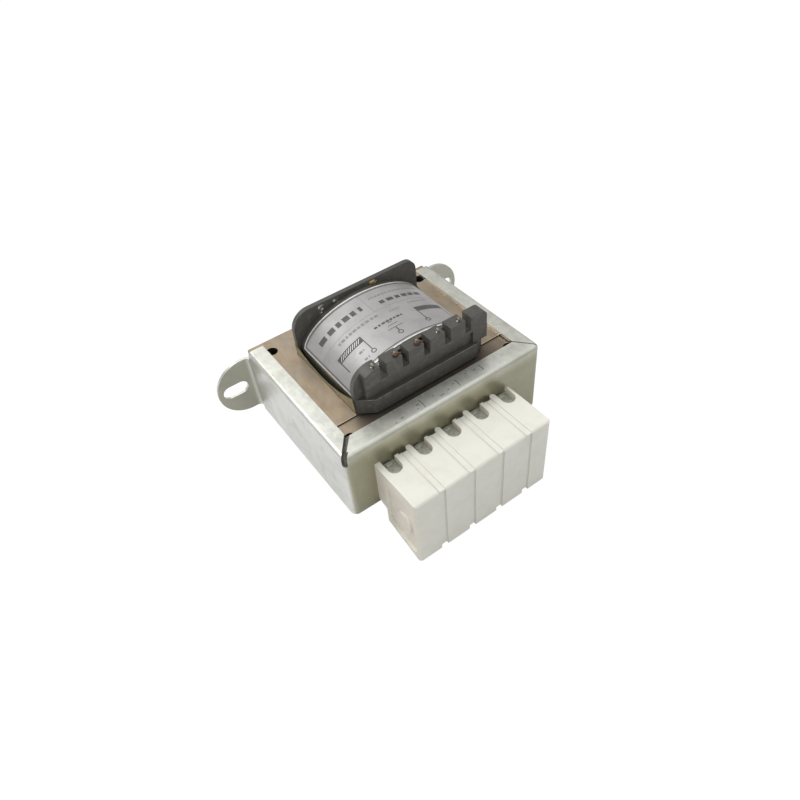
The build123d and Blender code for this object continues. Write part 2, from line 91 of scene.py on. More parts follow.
@dataclass(frozen=True)
class Datum:
    """Point that sizes in millimetres are counted from: middle of the clamp frame's lower front edge."""

    x: float
    y: float
    z: float

    @classmethod
    def of_frame(cls) -> "Datum":
        """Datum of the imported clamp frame."""
        low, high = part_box("clamp_frame")
        return cls((low.x + high.x) / 2, low.y, low.z)

    def row(self, points_mm: np.ndarray) -> np.ndarray:
        """Moves points from the datum's millimetres to the row frame's metres.

        Args:
            points_mm: Points in millimetres from the datum, one in each row.

        Returns:
            The points in metres in the row frame.
        """
        return np.asarray(points_mm, float) * MM + np.array([self.x, self.y, self.z])

    def node_mm(self, node: str) -> tuple[np.ndarray, np.ndarray]:
        """Corners of a node's box in millimetres from the datum.

        Args:
            node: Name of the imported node.

        Returns:
            Lowest and highest corner.
        """
        low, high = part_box(node)
        origin = np.array([self.x, self.y, self.z])
        return (np.array(low) - origin) / MM, (np.array(high) - origin) / MM


@dataclass
class Surface:
    """Points of a shape in millimetres with its quads, and a flat coordinate for each point if it has one."""

    points: np.ndarray
    quads: np.ndarray
    flat: Optional[np.ndarray] = None


def grid_quads(rows: int, columns: int, ring_rows: bool = False, ring_columns: bool = False) -> np.ndarray:
    """Quads of a grid whose normal is the row direction crossed with the column direction.

    Args:
        rows: Number of rows of points.
        columns: Number of columns of points.
        ring_rows: Joins the last row to the first.
        ring_columns: Joins the last column to the first.

    Returns:
        Array of point numbers, four to a quad.
    """
    row = np.arange(rows if ring_rows else rows - 1)
    column = np.arange(columns if ring_columns else columns - 1)
    a, b = np.meshgrid(row, column, indexing="ij")
    a_next, b_next = (a + 1) % rows, (b + 1) % columns
    corners = [a * columns + b, a_next * columns + b, a_next * columns + b_next, a * columns + b_next]
    return np.stack(corners, -1).reshape(-1, 4)


def joined(surfaces: Sequence[Surface]) -> Surface:
    """Puts several surfaces in one, without welding them.

    Args:
        surfaces: The surfaces in order.

    Returns:
        One surface with all points and quads.
    """
    starts = np.cumsum([0] + [len(s.points) for s in surfaces[:-1]])
    points = np.concatenate([s.points for s in surfaces])
    quads = np.concatenate([s.quads + start for s, start in zip(surfaces, starts)])
    if any(s.flat is None for s in surfaces):
        return Surface(points, quads)
    return Surface(points, quads, np.concatenate([s.flat for s in surfaces]))


def tube(path: np.ndarray, radius: Union[float, np.ndarray], sides: int, upright: Sequence[float]) -> Surface:
    """Round wire: a circle carried along a path, square to it, with its ends drawn together.

    Args:
        path: Points of the centre line.
        radius: Wire radius, one value or one for each point.
        sides: Points round the circle.
        upright: Direction that is never along the path, from which the circle's axes are worked out.

    Returns:
        The closed surface of the wire.
    """
    along = np.gradient(path, axis=0)
    along /= np.linalg.norm(along, axis=1, keepdims=True)
    first = np.cross(along, np.array(upright, float))
    first /= np.linalg.norm(first, axis=1, keepdims=True)
    second = np.cross(along, first)
    radii = np.broadcast_to(np.asarray(radius, float), (len(path),)).copy()
    path = np.concatenate([path[:1], path, path[-1:]])
    radii = np.concatenate([[0.0], radii, [0.0]])
    first = np.concatenate([first[:1], first, first[-1:]])
    second = np.concatenate([second[:1], second, second[-1:]])
    turn = np.linspace(0, 2 * np.pi, sides, endpoint=False)
    ring = first[:, None, :] * np.cos(turn)[None, :, None] + second[:, None, :] * np.sin(turn)[None, :, None]
    points = path[:, None, :] + ring * radii[:, None, None]
    return Surface(points.reshape(-1, 3), grid_quads(len(path), sides, ring_columns=True)[:, ::-1])


def turned(profile: np.ndarray, segments: int, centre: Sequence[float], axis: Sequence[float]) -> Surface:
    """Turned shape: a profile of radius and height swung round an axis.

    Args:
        profile: Radius and height of each profile point, from the bottom up.
        segments: Points round the axis.
        centre: Point on the axis at height zero.
        axis: Direction of the height.

    Returns:
        The surface of revolution.
    """
    height = np.array(axis, float) / np.linalg.norm(axis)
    side = np.cross(height, [1.0, 0.0, 0.0] if abs(height[0]) < 0.9 else [0.0, 1.0, 0.0])
    side /= np.linalg.norm(side)
    other = np.cross(height, side)
    turn = np.linspace(0, 2 * np.pi, segments, endpoint=False)
    ring = np.cos(turn)[:, None] * side + np.sin(turn)[:, None] * other
    points = profile[:, 0][:, None, None] * ring[None] + profile[:, 1][:, None, None] * height
    quads = grid_quads(len(profile), segments, ring_columns=True)[:, ::-1]
    return Surface((points + np.array(centre, float)).reshape(-1, 3), quads)


def drop(radius: float, height: float, segments: int, centre: Sequence[float],
         axis: Sequence[float]) -> Surface:
    """Drop of solder: a quarter ellipse turned round its axis, closed by a point just under its foot.

    Args:
        radius: Radius at the foot.
        height: Height over the foot.
        segments: Points round the axis.
        centre: Middle of the foot.
        axis: Direction of the height.

    Returns:
        The surface of the drop.
    """
    turn = np.linspace(0, np.pi / 2, DROP_POINTS)
    profile = np.stack([radius * np.cos(turn), height * np.sin(turn)], -1)
    return turned(np.concatenate([[[0.0, -DROP_SINK_MM]], profile]), segments, centre, axis)


def pillow(low: Sequence[float], high: Sequence[float], radius: float, steps: int = 3) -> Surface:
    """Box with round edges: each point of a ball is pushed out to the corner of its own eighth.

    Args:
        low: Lowest corner.
        high: Highest corner.
        radius: Radius of edges and corners.
        steps: Steps in each quarter turn.

    Returns:
        The closed surface of the box.
    """
    low, high = np.array(low, float), np.array(high, float)
    half = (high - low) / 2
    radius = min(radius, float(half.min()))
    quarter = np.linspace(0, np.pi / 2, steps + 1)
    turn = np.concatenate([quarter + k * np.pi / 2 for k in range(4)])
    turn_sign = np.repeat([[1, 1], [-1, 1], [-1, -1], [1, -1]], steps + 1, axis=0)
    rise = np.concatenate([quarter - np.pi / 2, quarter])
    rise_sign = np.repeat([-1, 1], steps + 1)
    ball = np.stack([
        np.cos(rise)[:, None] * np.cos(turn)[None],
        np.cos(rise)[:, None] * np.sin(turn)[None],
        np.broadcast_to(np.sin(rise)[:, None], (len(rise), len(turn))),
    ], -1)
    corner = np.stack([
        np.broadcast_to(turn_sign[:, 0][None], ball.shape[:2]),
        np.broadcast_to(turn_sign[:, 1][None], ball.shape[:2]),
        np.broadcast_to(rise_sign[:, None], ball.shape[:2]),
    ], -1)
    points = (low + high) / 2 + corner * (half - radius) + ball * radius
    quads = grid_quads(len(rise), len(turn), ring_columns=True)[:, ::-1]
    caps = cap_rows(len(rise), len(turn), steps + 1)
    return Surface(points.reshape(-1, 3), np.concatenate([quads, caps]))


def cap_rows(rows: int, columns: int, block: int) -> np.ndarray:
    """Quads that close the first and the last row of a box with round edges.

    Args:
        rows: Number of rows of the grid.
        columns: Number of columns of the grid.
        block: Columns of one corner, whose points coincide in those rows.

    Returns:
        One quad for the bottom and one for the top.
    """
    picks = np.arange(4) * block
    last = (rows - 1) * columns
    return np.array([picks[::-1], picks + last])


def ribbon(path: np.ndarray, across: np.ndarray, width: float) -> Surface:
    """Flat strip: two points for each point of a path, half a width to either side.

    Args:
        path: Points of the middle line.
        across: Unit direction of the width.
        width: Width of the strip.

    Returns:
        The open strip.
    """
    side = np.asarray(across, float) * width / 2
    points = np.stack([path - side, path + side], 1)
    return Surface(points.reshape(-1, 3), grid_quads(len(path), 2))


class Recipe:
    """Nodes of one material, laid out by short calls that take sizes in millimetres."""

    def __init__(self, name: str) -> None:
        """Starts a material with a principled shader.

        Args:
            name: Name of the material.
        """
        self.material = bpy.data.materials.new(name)
        self.material.use_nodes = True
        self.tree = self.material.node_tree
        self.shader = self.tree.nodes["Principled BSDF"]
        self.place = self.tree.nodes.new("ShaderNodeTexCoord").outputs["Object"]

    def node(self, kind: str, **settings: object) -> bpy.types.Node:
        """Adds a node and sets its properties.

        Args:
            kind: Blender's name of the node type.
            **settings: Properties of the node.

        Returns:
            The new node.
        """
        made = self.tree.nodes.new(kind)
        for name, value in settings.items():
            setattr(made, name, value)
        return made

    def feed(self, socket: bpy.types.NodeSocket, value: Socket) -> None:
        """Links a socket to another, or sets its value.

        Args:
            socket: Input to fill.
            value: Output socket, number or colour.
        """
        if isinstance(value, bpy.types.NodeSocket):
            self.tree.links.new(value, socket)
        else:
            socket.default_value = value

    def stretched(self, scale: Sequence[float], turn: Sequence[float] = (0, 0, 0)) -> bpy.types.NodeSocket:
        """Object coordinates scaled by axis and turned.

        Args:
            scale: Factor along each axis.
            turn: Turn about each axis in degrees.

        Returns:
            The mapped coordinate.
        """
        mapping = self.node("ShaderNodeMapping")
        self.feed(mapping.inputs["Vector"], self.place)
        mapping.inputs["Scale"].default_value = tuple(scale)
        mapping.inputs["Rotation"].default_value = tuple(math.radians(a) for a in turn)
        return mapping.outputs["Vector"]

    def noise(self, size_mm: float, detail: float = 3.0, rough: float = 0.55, twist: float = 0.0,
              at: Optional[bpy.types.NodeSocket] = None) -> bpy.types.NodeSocket:
        """Noise with features of a given size.

        Args:
            size_mm: Size of the largest features.
            detail: Octaves.
            rough: Share that each finer octave keeps.
            twist: Distortion.
            at: Coordinate to use in place of the object's own.

        Returns:
            Value from zero to one.
        """
        made = self.node("ShaderNodeTexNoise")
        self.feed(made.inputs["Vector"], self.place if at is None else at)
        made.inputs["Scale"].default_value = 1.0 / (size_mm * MM)
        made.inputs["Detail"].default_value = detail
        made.inputs["Roughness"].default_value = rough
        made.inputs["Distortion"].default_value = twist
        return made.outputs["Fac"]

    def cells(self, size_mm: float, at: bpy.types.NodeSocket) -> bpy.types.NodeSocket:
        """Cells of a given size, each with a colour of its own.

        Args:
            size_mm: Size of a cell.
            at: Coordinate that the cells follow.

        Returns:
            The colour of the cell.
        """
        made = self.node("ShaderNodeTexVoronoi")
        self.feed(made.inputs["Vector"], at)
        made.inputs["Scale"].default_value = 1.0 / (size_mm * MM)
        return made.outputs["Color"]

    def axis(self, letter: str, at: Optional[bpy.types.NodeSocket] = None) -> bpy.types.NodeSocket:
        """One coordinate of the object, or of another vector.

        Args:
            letter: X, Y or Z.
            at: Vector to split in place of the object's coordinate.

        Returns:
            The coordinate in metres.
        """
        made = self.node("ShaderNodeSeparateXYZ")
        self.feed(made.inputs[0], self.place if at is None else at)
        return made.outputs[letter]

    def facing(self, letter: str) -> bpy.types.NodeSocket:
        """One part of the surface's normal."""
        return self.axis(letter, self.node("ShaderNodeNewGeometry").outputs["Normal"])

    def math(self, operation: str, first: Socket, second: Socket = 0.0,
             third: Socket = 0.0) -> bpy.types.NodeSocket:
        """Arithmetic on numbers.

        Args:
            operation: Blender's name of the operation.
            first: First number.
            second: Second number.
            third: Third number.

        Returns:
            The result.
        """
        made = self.node("ShaderNodeMath", operation=operation)
        for socket, value in zip(made.inputs, (first, second, third)):
            self.feed(socket, value)
        return made.outputs[0]

    def ramp(self, value: Socket, low: float, high: float) -> bpy.types.NodeSocket:
        """Smooth rise from zero to one.

        Args:
            value: Number that drives it.
            low: Value at which it is zero.
            high: Value at which it is one.

        Returns:
            Share from zero to one.
        """
        made = self.node("ShaderNodeMapRange", interpolation_type="SMOOTHSTEP")
        self.feed(made.inputs["Value"], value)
        made.inputs["From Min"].default_value = low
        made.inputs["From Max"].default_value = high
        return made.outputs["Result"]

    def span(self, letter: str, places_mm: Sequence[float]) -> bpy.types.NodeSocket:
        """Smooth rise along an axis, from zero at the first place to one at the second."""
        return self.ramp(self.axis(letter), *(v * MM for v in places_mm))

    def between(self, value: Socket, low: float, high: float) -> bpy.types.NodeSocket:
        """Straight rise from one number to another.

        Args:
            value: Share from zero to one.
            low: Number at zero.
            high: Number at one.

        Returns:
            Number between the two.
        """
        made = self.node("ShaderNodeMapRange")
        self.feed(made.inputs["Value"], value)
        made.inputs["To Min"].default_value = low
        made.inputs["To Max"].default_value = high
        return made.outputs["Result"]

    def waves(self, letter: str, pitch_mm: float) -> bpy.types.NodeSocket:
        """Even waves along an axis: half the sine of the place, plus a half.

        Args:
            letter: X, Y or Z.
            pitch_mm: Distance from one crest to the next.

        Returns:
            Height from zero to one.
        """
        phase = self.math("MULTIPLY", self.axis(letter), 2 * math.pi / (pitch_mm * MM))
        return self.math("MULTIPLY_ADD", self.math("SINE", phase), 0.5, 0.5)

    def mix(self, share: Socket, first: Socket, second: Socket) -> bpy.types.NodeSocket:
        """Mixes two colours.

        Args:
            share: Share of the second colour.
            first: First colour.
            second: Second colour.

        Returns:
            The mixed colour.
        """
        made = self.node("ShaderNodeMix", data_type="RGBA")
        sockets = {s.identifier: s for s in made.inputs}
        self.feed(sockets["Factor_Float"], share)
        self.feed(sockets["A_Color"], first)
        self.feed(sockets["B_Color"], second)
        return next(s for s in made.outputs if s.identifier == "Result_Color")

    def tint(self, colour: Socket, other: Socket, share: Socket, amount: Socket) -> bpy.types.NodeSocket:
        """Lays another colour over a colour, by a share times an amount."""
        return self.mix(self.math("MULTIPLY", share, amount), colour, other)

    def relief(self, height: Socket, depth_mm: float, strength: float = 1.0,
               under: Optional[bpy.types.NodeSocket] = None) -> bpy.types.NodeSocket:
        """Normal of a fine relief.

        Args:
            height: Height from zero to one.
            depth_mm: Depth of the relief.
            strength: Share of the relief that is used.
            under: Normal of a relief below this one.

        Returns:
            The normal.
        """
        made = self.node("ShaderNodeBump")
        self.feed(made.inputs["Height"], height)
        made.inputs["Distance"].default_value = depth_mm * MM
        made.inputs["Strength"].default_value = strength
        if under is not None:
            self.feed(made.inputs["Normal"], under)
        return made.outputs["Normal"]

    def finish(self, **inputs: Socket) -> bpy.types.Material:
        """Fills the shader's inputs.

        Args:
            **inputs: Value of each input, with the input's name in lower case and low lines for spaces.

        Returns:
            The material.
        """
        known = {s.name.lower().replace(" ", "_"): s for s in self.shader.inputs}
        for name, value in inputs.items():
            self.feed(known[name], value)
        return self.material


class Finish(Enum):
    """Finishes of the transformer's pieces."""

    ZINC = "zinc_sheet"
    ZINC_EDGE = "sheared_zinc_edge"
    VARNISHED_STEEL = "varnished_steel"
    STEEL_EDGE = "bright_steel_edge"
    BLACK_MOULDING = "black_moulding"
    TAPE = "black_tape"
    ENAMEL_WIRE = "enamel_wire"
    INSULATION = "insulation_paper"
    FOIL = "plate_foil"
    FOIL_EDGE = "plate_foil_edge"
    INK = "plate_ink"
    GREY_INK = "plate_grey_ink"
    FILM = "olive_film"
    TINNED_PIN = "tinned_pin"
    SOLDER = "solder"
    BRASS = "bright_brass"
    NYLON = "cream_nylon"
    TINNED_TAB = "tinned_tab"
    SCREW = "zinc_screw"
    SCRIBE = "scribed_mark"
    # Painted shade in the corners of the block's sunk strips.
    NYLON_CORNER = "shaded_nylon_corner"
    # Painted shadow on the core's front left corner.
    VARNISH = "pooled_varnish"
    # Painted highlight on the shelf's edge.
    WORN_MOULDING = "worn_moulding_edge"


@dataclass(frozen=True)
class ZincSheet:
    """Zinc-plated sheet: pale scratched lips with soft crystals, an olive tint with painted shade on the
    front wall, painted highlights on the side walls and at the front fold, and painted shade near the ears.
    """

    pale: tuple = paint(221, 221, 211)
    cool: tuple = paint(201, 203, 197)
    # Olive: a random haze, and the olive tint with painted shade on the front wall.
    olive: tuple = paint(160, 157, 131)
    # Painted highlight colour of the walls that look sideways.
    side: tuple = paint(240, 240, 238)
    # Painted highlight colour at the front fold.
    fold_highlight: tuple = paint(238, 240, 230)
    stain: tuple = paint(132, 134, 128)
    scratch: tuple = paint(244, 244, 238)
    cut: tuple = (paint(236, 236, 228), paint(204, 204, 194))
    crystal_mm: float = 1.8
    fold_highlight_y_mm: tuple = (-19.0, -23.6)
    front_shade_z_mm: tuple = (48.5, 43.0)
    ear_shade_y_mm: tuple = (29.0, 43.0)
    edge: bool = False

    def make(self, name: str) -> bpy.types.Material:
        """Builds the material.

        Args:
            name: Name of the material.

        Returns:
            The material.
        """
        r = Recipe(name)
        if self.edge:
            colour = r.mix(r.noise(0.4, 4), *self.cut)
            return r.finish(base_color=colour, metallic=1.0, roughness=0.3)
        crystals = r.cells(self.crystal_mm, r.stretched((1.0, 0.7, 1.0), (0, 0, 20)))
        shade = r.math("MULTIPLY_ADD", crystals, 0.3, r.math("MULTIPLY", r.noise(3.0, 3), 0.7))
        colour = r.mix(r.ramp(shade, 0.3, 0.75), self.pale, self.cool)
        # Painted highlight: the sheet is painted lighter towards its front fold.
        fold_highlight = r.span("Y", self.fold_highlight_y_mm)
        colour = r.tint(colour, self.fold_highlight, fold_highlight, r.between(r.noise(4.0, 3), 0.35, 0.95))
        # Olive tint and painted shade: faces that look forward are painted olive and darker, more so lower
        # down.
        front = r.ramp(r.math("MULTIPLY", r.facing("Y"), -1.0), 0.5, 0.98)
        front = r.math("MULTIPLY", front, r.between(r.span("Z", self.front_shade_z_mm), 0.55, 1.0))
        colour = r.tint(colour, self.olive, front, r.between(r.noise(16.0, 3, 0.6, 0.4), 0.75, 1.0))
        # Painted highlight: walls that look sideways are painted lighter.
        wall = r.ramp(r.math("ABSOLUTE", r.facing("X")), 0.5, 0.95)
        colour = r.tint(colour, self.side, wall, r.between(r.noise(7.0, 3), 0.5, 1.0))
        # Painted shade: upright faces near the ears are painted darker.
        upright = r.ramp(r.math("ABSOLUTE", r.facing("Z")), 0.6, 0.2)
        ear_shade = r.math("MULTIPLY", r.span("Y", self.ear_shade_y_mm), upright)
        colour = r.tint(colour, self.cool, ear_shade, 0.45)
        haze = r.ramp(r.noise(9.0, 3, 0.6, 0.4), 0.45, 0.75)
        colour = r.tint(colour, self.olive, haze, 0.25)
        stains = r.ramp(r.noise(0.9, 5, 0.7), 0.6, 0.74)
        colour = r.tint(colour, self.stain, stains, 0.3)
        scratches = r.ramp(r.noise(0.5, 3, 0.6, at=r.stretched((1.0, 0.06, 1.0), (0, 0, 4))), 0.62, 0.7)
        colour = r.tint(colour, self.scratch, scratches, 0.3)
        rough = r.between(r.noise(1.6, 4, 0.6), 0.32, 0.46)
        fine = r.noise(0.25, 3, 0.6, at=r.stretched((1.0, 0.25, 1.0)))
        normal = r.relief(r.noise(6.0, 2), 0.08, 0.3, under=r.relief(fine, 0.01, 0.5))
        return r.finish(base_color=colour, metallic=0.88, roughness=rough, normal=normal)


@dataclass(frozen=True)
class VarnishedSteel:
    """Silicon steel under thin brown varnish: tan streaks on the flats with a painted shadow along their
    front, and fine sheet lines on the cut sides, whose tone is painted darker as shade.
    """

    tan: tuple = paint(168, 152, 131)
    brown: tuple = paint(155, 138, 117)
    grey: tuple = paint(156, 152, 144)
    # Painted shadow colour on the flats in front of the bobbin.
    bobbin_shadow: tuple = paint(98, 92, 82)
    # Cut-side tone, painted darker as shade; the gap colour is the real dark joint between sheets.
    cut: tuple = paint(110, 101, 88)
    gap: tuple = paint(46, 41, 36)
    bare: tuple = (paint(206, 196, 176), paint(168, 152, 128))
    cut_rough: tuple = (0.5, 0.5, 0.5, 1.0)
    bobbin_shadow_x_mm: tuple = (-34.0, -25.0, 24.0, 36.0)
    bobbin_shadow_y_mm: tuple = (-8.5, -9.6)
    sheet_mm: float = 0.5
    edge: bool = False

    def make(self, name: str) -> bpy.types.Material:
        """Builds the material.

        Args:
            name: Name of the material.

        Returns:
            The material.
        """
        r = Recipe(name)
        if self.edge:
            colour = r.mix(r.noise(0.5, 3), *self.bare)
            return r.finish(base_color=colour, metallic=1.0, roughness=0.35)
        streak = r.noise(3.0, 3, 0.5, 0.2, at=r.stretched((1.0, 0.5, 1.0), (0, 0, 8)))
        cloud = r.noise(14.0, 3, 0.5, 0.3)
        colour = r.mix(r.ramp(streak, 0.3, 0.75), self.tan, self.brown)
        colour = r.tint(colour, self.grey, r.ramp(cloud, 0.4, 0.75), 0.4)
        # Painted shadow: a dark band along the front of the flats, in front of the bobbin, fading towards
        # both ends.
        start, full, fade, end = self.bobbin_shadow_x_mm
        shadow_fade = r.between(r.span("X", (end, fade)), 0.35, 0.9)
        along = r.math("MULTIPLY", r.span("X", (start, full)), shadow_fade)
        colour = r.tint(colour, self.bobbin_shadow, along, r.span("Y", self.bobbin_shadow_y_mm))
        flat = r.ramp(r.math("ABSOLUTE", r.facing("Z")), 0.5, 0.8)
        lines = r.waves("Z", self.sheet_mm)
        jitter = r.noise(0.5, 1, 0.5, at=r.stretched((0.02, 0.02, 1.0)))
        # Sheet edges with dark joints between the sheets; their tone is also painted darker as shade.
        side = r.tint(self.cut, self.gap, lines, r.between(jitter, 0.5, 1.0))
        colour = r.mix(flat, side, colour)
        rough = r.mix(flat, self.cut_rough, r.between(streak, 0.4, 0.52))
        height = r.mix(flat, lines, r.noise(0.8, 3, at=r.stretched((1.0, 0.4, 1.0))))
        normal = r.relief(height, 0.02, 0.2)
        return r.finish(base_color=colour, metallic=0.85, roughness=rough, normal=normal)


@dataclass(frozen=True)
class BlackMoulding:
    """Black glass-filled nylon: satin, faintly mottled, dusty, and painted darker where it faces up, as
    shade.
    """

    black: tuple = paint(86, 85, 80)
    grey: tuple = paint(106, 105, 99)
    dust: tuple = paint(120, 118, 110)
    # Painted shade colour for faces that look up.
    upper: tuple = paint(66, 65, 62)

    def make(self, name: str) -> bpy.types.Material:
        """Builds the material.

        Args:
            name: Name of the material.

        Returns:
            The material.
        """
        r = Recipe(name)
        mottle = r.noise(2.2, 5, 0.65, 0.3)
        colour = r.mix(r.ramp(mottle, 0.45, 0.75), self.black, self.grey)
        colour = r.tint(colour, self.dust, r.ramp(r.noise(0.35, 4, 0.7), 0.66, 0.76), 0.4)
        # Painted shade: faces that look up are painted darker.
        colour = r.tint(colour, self.upper, r.ramp(r.facing("Z"), 0.4, 0.95), 0.6)
        rough = r.between(r.noise(1.2, 4), 0.36, 0.55)
        normal = r.relief(r.noise(4.0, 2), 0.08, 0.5, under=r.relief(r.noise(0.3, 3), 0.015, 0.5))
        return r.finish(base_color=colour, roughness=rough, normal=normal)


@dataclass(frozen=True)
class BlackTape:
    """Glossy dark tape drawn tight over round wire, with the turns showing through."""

    dark: tuple = paint(62, 62, 58)
    glaze: tuple = paint(84, 83, 76)
    turn_mm: float = 0.9

    def make(self, name: str) -> bpy.types.Material:
        """Builds the material.

        Args:
            name: Name of the material.

        Returns:
            The material.
        """
        r = Recipe(name)
        turns = r.relief(r.waves("Y", self.turn_mm), 0.03, 0.5)
        colour = r.mix(r.noise(3.0, 3), self.dark, self.glaze)
        normal = r.relief(r.noise(2.5, 2), 0.15, 0.5, under=turns)
        return r.finish(base_color=colour, roughness=0.24, coat_weight=0.4, coat_roughness=0.15,
                        normal=normal)


@dataclass(frozen=True)
class EnamelWire:
    """Copper under clear enamel, in close turns across the coil."""

    copper: tuple = paint(128, 95, 67)
    deep: tuple = paint(82, 62, 47)
    turn_mm: float = 0.6

    def make(self, name: str) -> bpy.types.Material:
        """Builds the material.

        Args:
            name: Name of the material.

        Returns:
            The material.
        """
        r = Recipe(name)
        colour = r.mix(r.noise(0.8, 3), self.copper, self.deep)
        normal = r.relief(r.waves("Y", self.turn_mm), 0.05, 0.3)
        return r.finish(base_color=colour, metallic=0.5, roughness=0.3, coat_weight=0.5, normal=normal)


@dataclass(frozen=True)
class PlainFinish:
    """Finish of one family: a base colour, a second colour in soft patches, and a fine relief."""

    base: tuple
    patch: tuple
    patch_mm: float = 2.0
    metal: float = 0.0
    rough: tuple = (0.35, 0.5)
    relief_mm: float = 0.01
    grain_mm: float = 0.3
    through: float = 0.0
    coat: float = 0.0

    def make(self, name: str) -> bpy.types.Material:
        """Builds the material.

        Args:
            name: Name of the material.

        Returns:
            The material.
        """
        r = Recipe(name)
        colour = r.mix(r.ramp(r.noise(self.patch_mm, 4, 0.6, 0.3), 0.38, 0.7), self.base, self.patch)
        rough = r.between(r.noise(self.patch_mm * 0.6, 3), *self.rough)
        normal = r.relief(r.noise(self.grain_mm, 3), self.relief_mm, 0.5)
        return r.finish(base_color=colour, metallic=self.metal, roughness=rough, normal=normal,
                        subsurface_weight=self.through, coat_weight=self.coat)


@dataclass(frozen=True)
class CreamNylon:
    """Cream nylon: slightly translucent, with flow clouds, a fine eroded grain and painted shade, warmer and
    darker, on faces that look left.
    """

    cream: tuple = paint(238, 237, 227)
    shade: tuple = paint(233, 231, 219)
    # Painted shade colour for faces that look left.
    end: tuple = paint(226, 214, 198)
    glow: tuple = (1.0, 0.8, 0.5)
    glow_mm: float = 0.5
    through: float = 0.12

    def make(self, name: str) -> bpy.types.Material:
        """Builds the material.

        Args:
            name: Name of the material.

        Returns:
            The material.
        """
        r = Recipe(name)
        cloud = r.noise(7.0, 4, 0.6, 0.5)
        colour = r.mix(r.ramp(cloud, 0.4, 0.72), self.cream, self.shade)
        # Painted shade: faces that look left are painted warmer and darker.
        left_face_shade = r.ramp(r.math("MULTIPLY", r.facing("X"), -1.0), 0.6, 0.95)
        colour = r.tint(colour, self.end, left_face_shade, r.between(r.noise(4.0, 3), 0.2, 0.9))
        rough = r.between(r.noise(1.4, 3), 0.38, 0.52)
        normal = r.relief(r.noise(6.0, 2), 0.03, 0.4, under=r.relief(r.noise(0.22, 2), 0.006, 0.5))
        return r.finish(base_color=colour, roughness=rough, normal=normal, subsurface_weight=self.through,
                        subsurface_radius=self.glow, subsurface_scale=self.glow_mm * MM)


RECIPES = {
    Finish.ZINC: ZincSheet(),
    Finish.ZINC_EDGE: ZincSheet(edge=True),
    Finish.VARNISHED_STEEL: VarnishedSteel(),
    Finish.STEEL_EDGE: VarnishedSteel(edge=True),
    Finish.BLACK_MOULDING: BlackMoulding(),
    Finish.TAPE: BlackTape(),
    Finish.ENAMEL_WIRE: EnamelWire(),
    Finish.INSULATION: PlainFinish(paint(190, 172, 128), paint(160, 138, 96), rough=(0.5, 0.7)),
    Finish.FOIL: PlainFinish(paint(173, 171, 170), paint(164, 162, 161), 5.0, 0.35, (0.34, 0.44), 0.004, 0.4),
    Finish.FOIL_EDGE: PlainFinish(paint(236, 235, 230), paint(220, 219, 214), 1.0, 0.2, (0.3, 0.4)),
    Finish.INK: PlainFinish(paint(70, 68, 68), paint(92, 90, 90), 0.6, 0.0, (0.4, 0.55), 0.004),
    Finish.GREY_INK: PlainFinish(paint(128, 126, 126), paint(142, 140, 140), 0.6, 0.0, (0.4, 0.55), 0.004),
    Finish.FILM: PlainFinish(paint(130, 121, 80), paint(102, 95, 60), 3.0, 0.0, (0.28, 0.45), 0.03, 1.2,
                             0.1, 0.3),
    Finish.TINNED_PIN: PlainFinish(paint(196, 190, 170), paint(160, 152, 130), 0.8, 1.0, (0.2, 0.4)),
    Finish.SOLDER: PlainFinish(paint(206, 206, 202), paint(150, 150, 146), 0.5, 1.0, (0.15, 0.35), 0.02, 0.4),
    Finish.BRASS: PlainFinish(paint(236, 218, 180), paint(206, 180, 132), 0.8, 0.15, (0.25, 0.45)),
    Finish.NYLON: CreamNylon(),
    # Painted shade colour for the corners of the sunk strips.
    Finish.NYLON_CORNER: PlainFinish(paint(216, 215, 205), paint(222, 221, 211), 3.0),
    Finish.TINNED_TAB: PlainFinish(paint(194, 195, 185), paint(168, 169, 158), 1.2, 0.5, (0.4, 0.55)),
    Finish.SCREW: PlainFinish(paint(190, 192, 194), paint(150, 152, 156), 0.8, 1.0, (0.25, 0.4)),
    Finish.SCRIBE: PlainFinish(paint(70, 72, 72), paint(96, 98, 98), 0.4, 0.3, (0.5, 0.7)),
    # Painted highlight colour for the shelf's edge line.
    Finish.WORN_MOULDING: PlainFinish(paint(158, 157, 149), paint(120, 119, 112), 1.5, 0.0, (0.35, 0.5)),
    # Painted shadow colour for the core's front left corner.
    Finish.VARNISH: PlainFinish(paint(92, 91, 84), paint(112, 110, 101), 1.0, 0.0, (0.4, 0.6)),
}


class Palette:
    """Materials of the object, each made once."""

    def __init__(self) -> None:
        """Starts with no material made."""
        self.made: dict[Finish, bpy.types.Material] = {}

    def get(self, finish: Finish) -> bpy.types.Material:
        """Material of a finish, made when it is first asked for.

        Args:
            finish: The wanted finish.

        Returns:
            Its material.
        """
        if finish not in self.made:
            self.made[finish] = RECIPES[finish].make(finish.value)
        return self.made[finish]


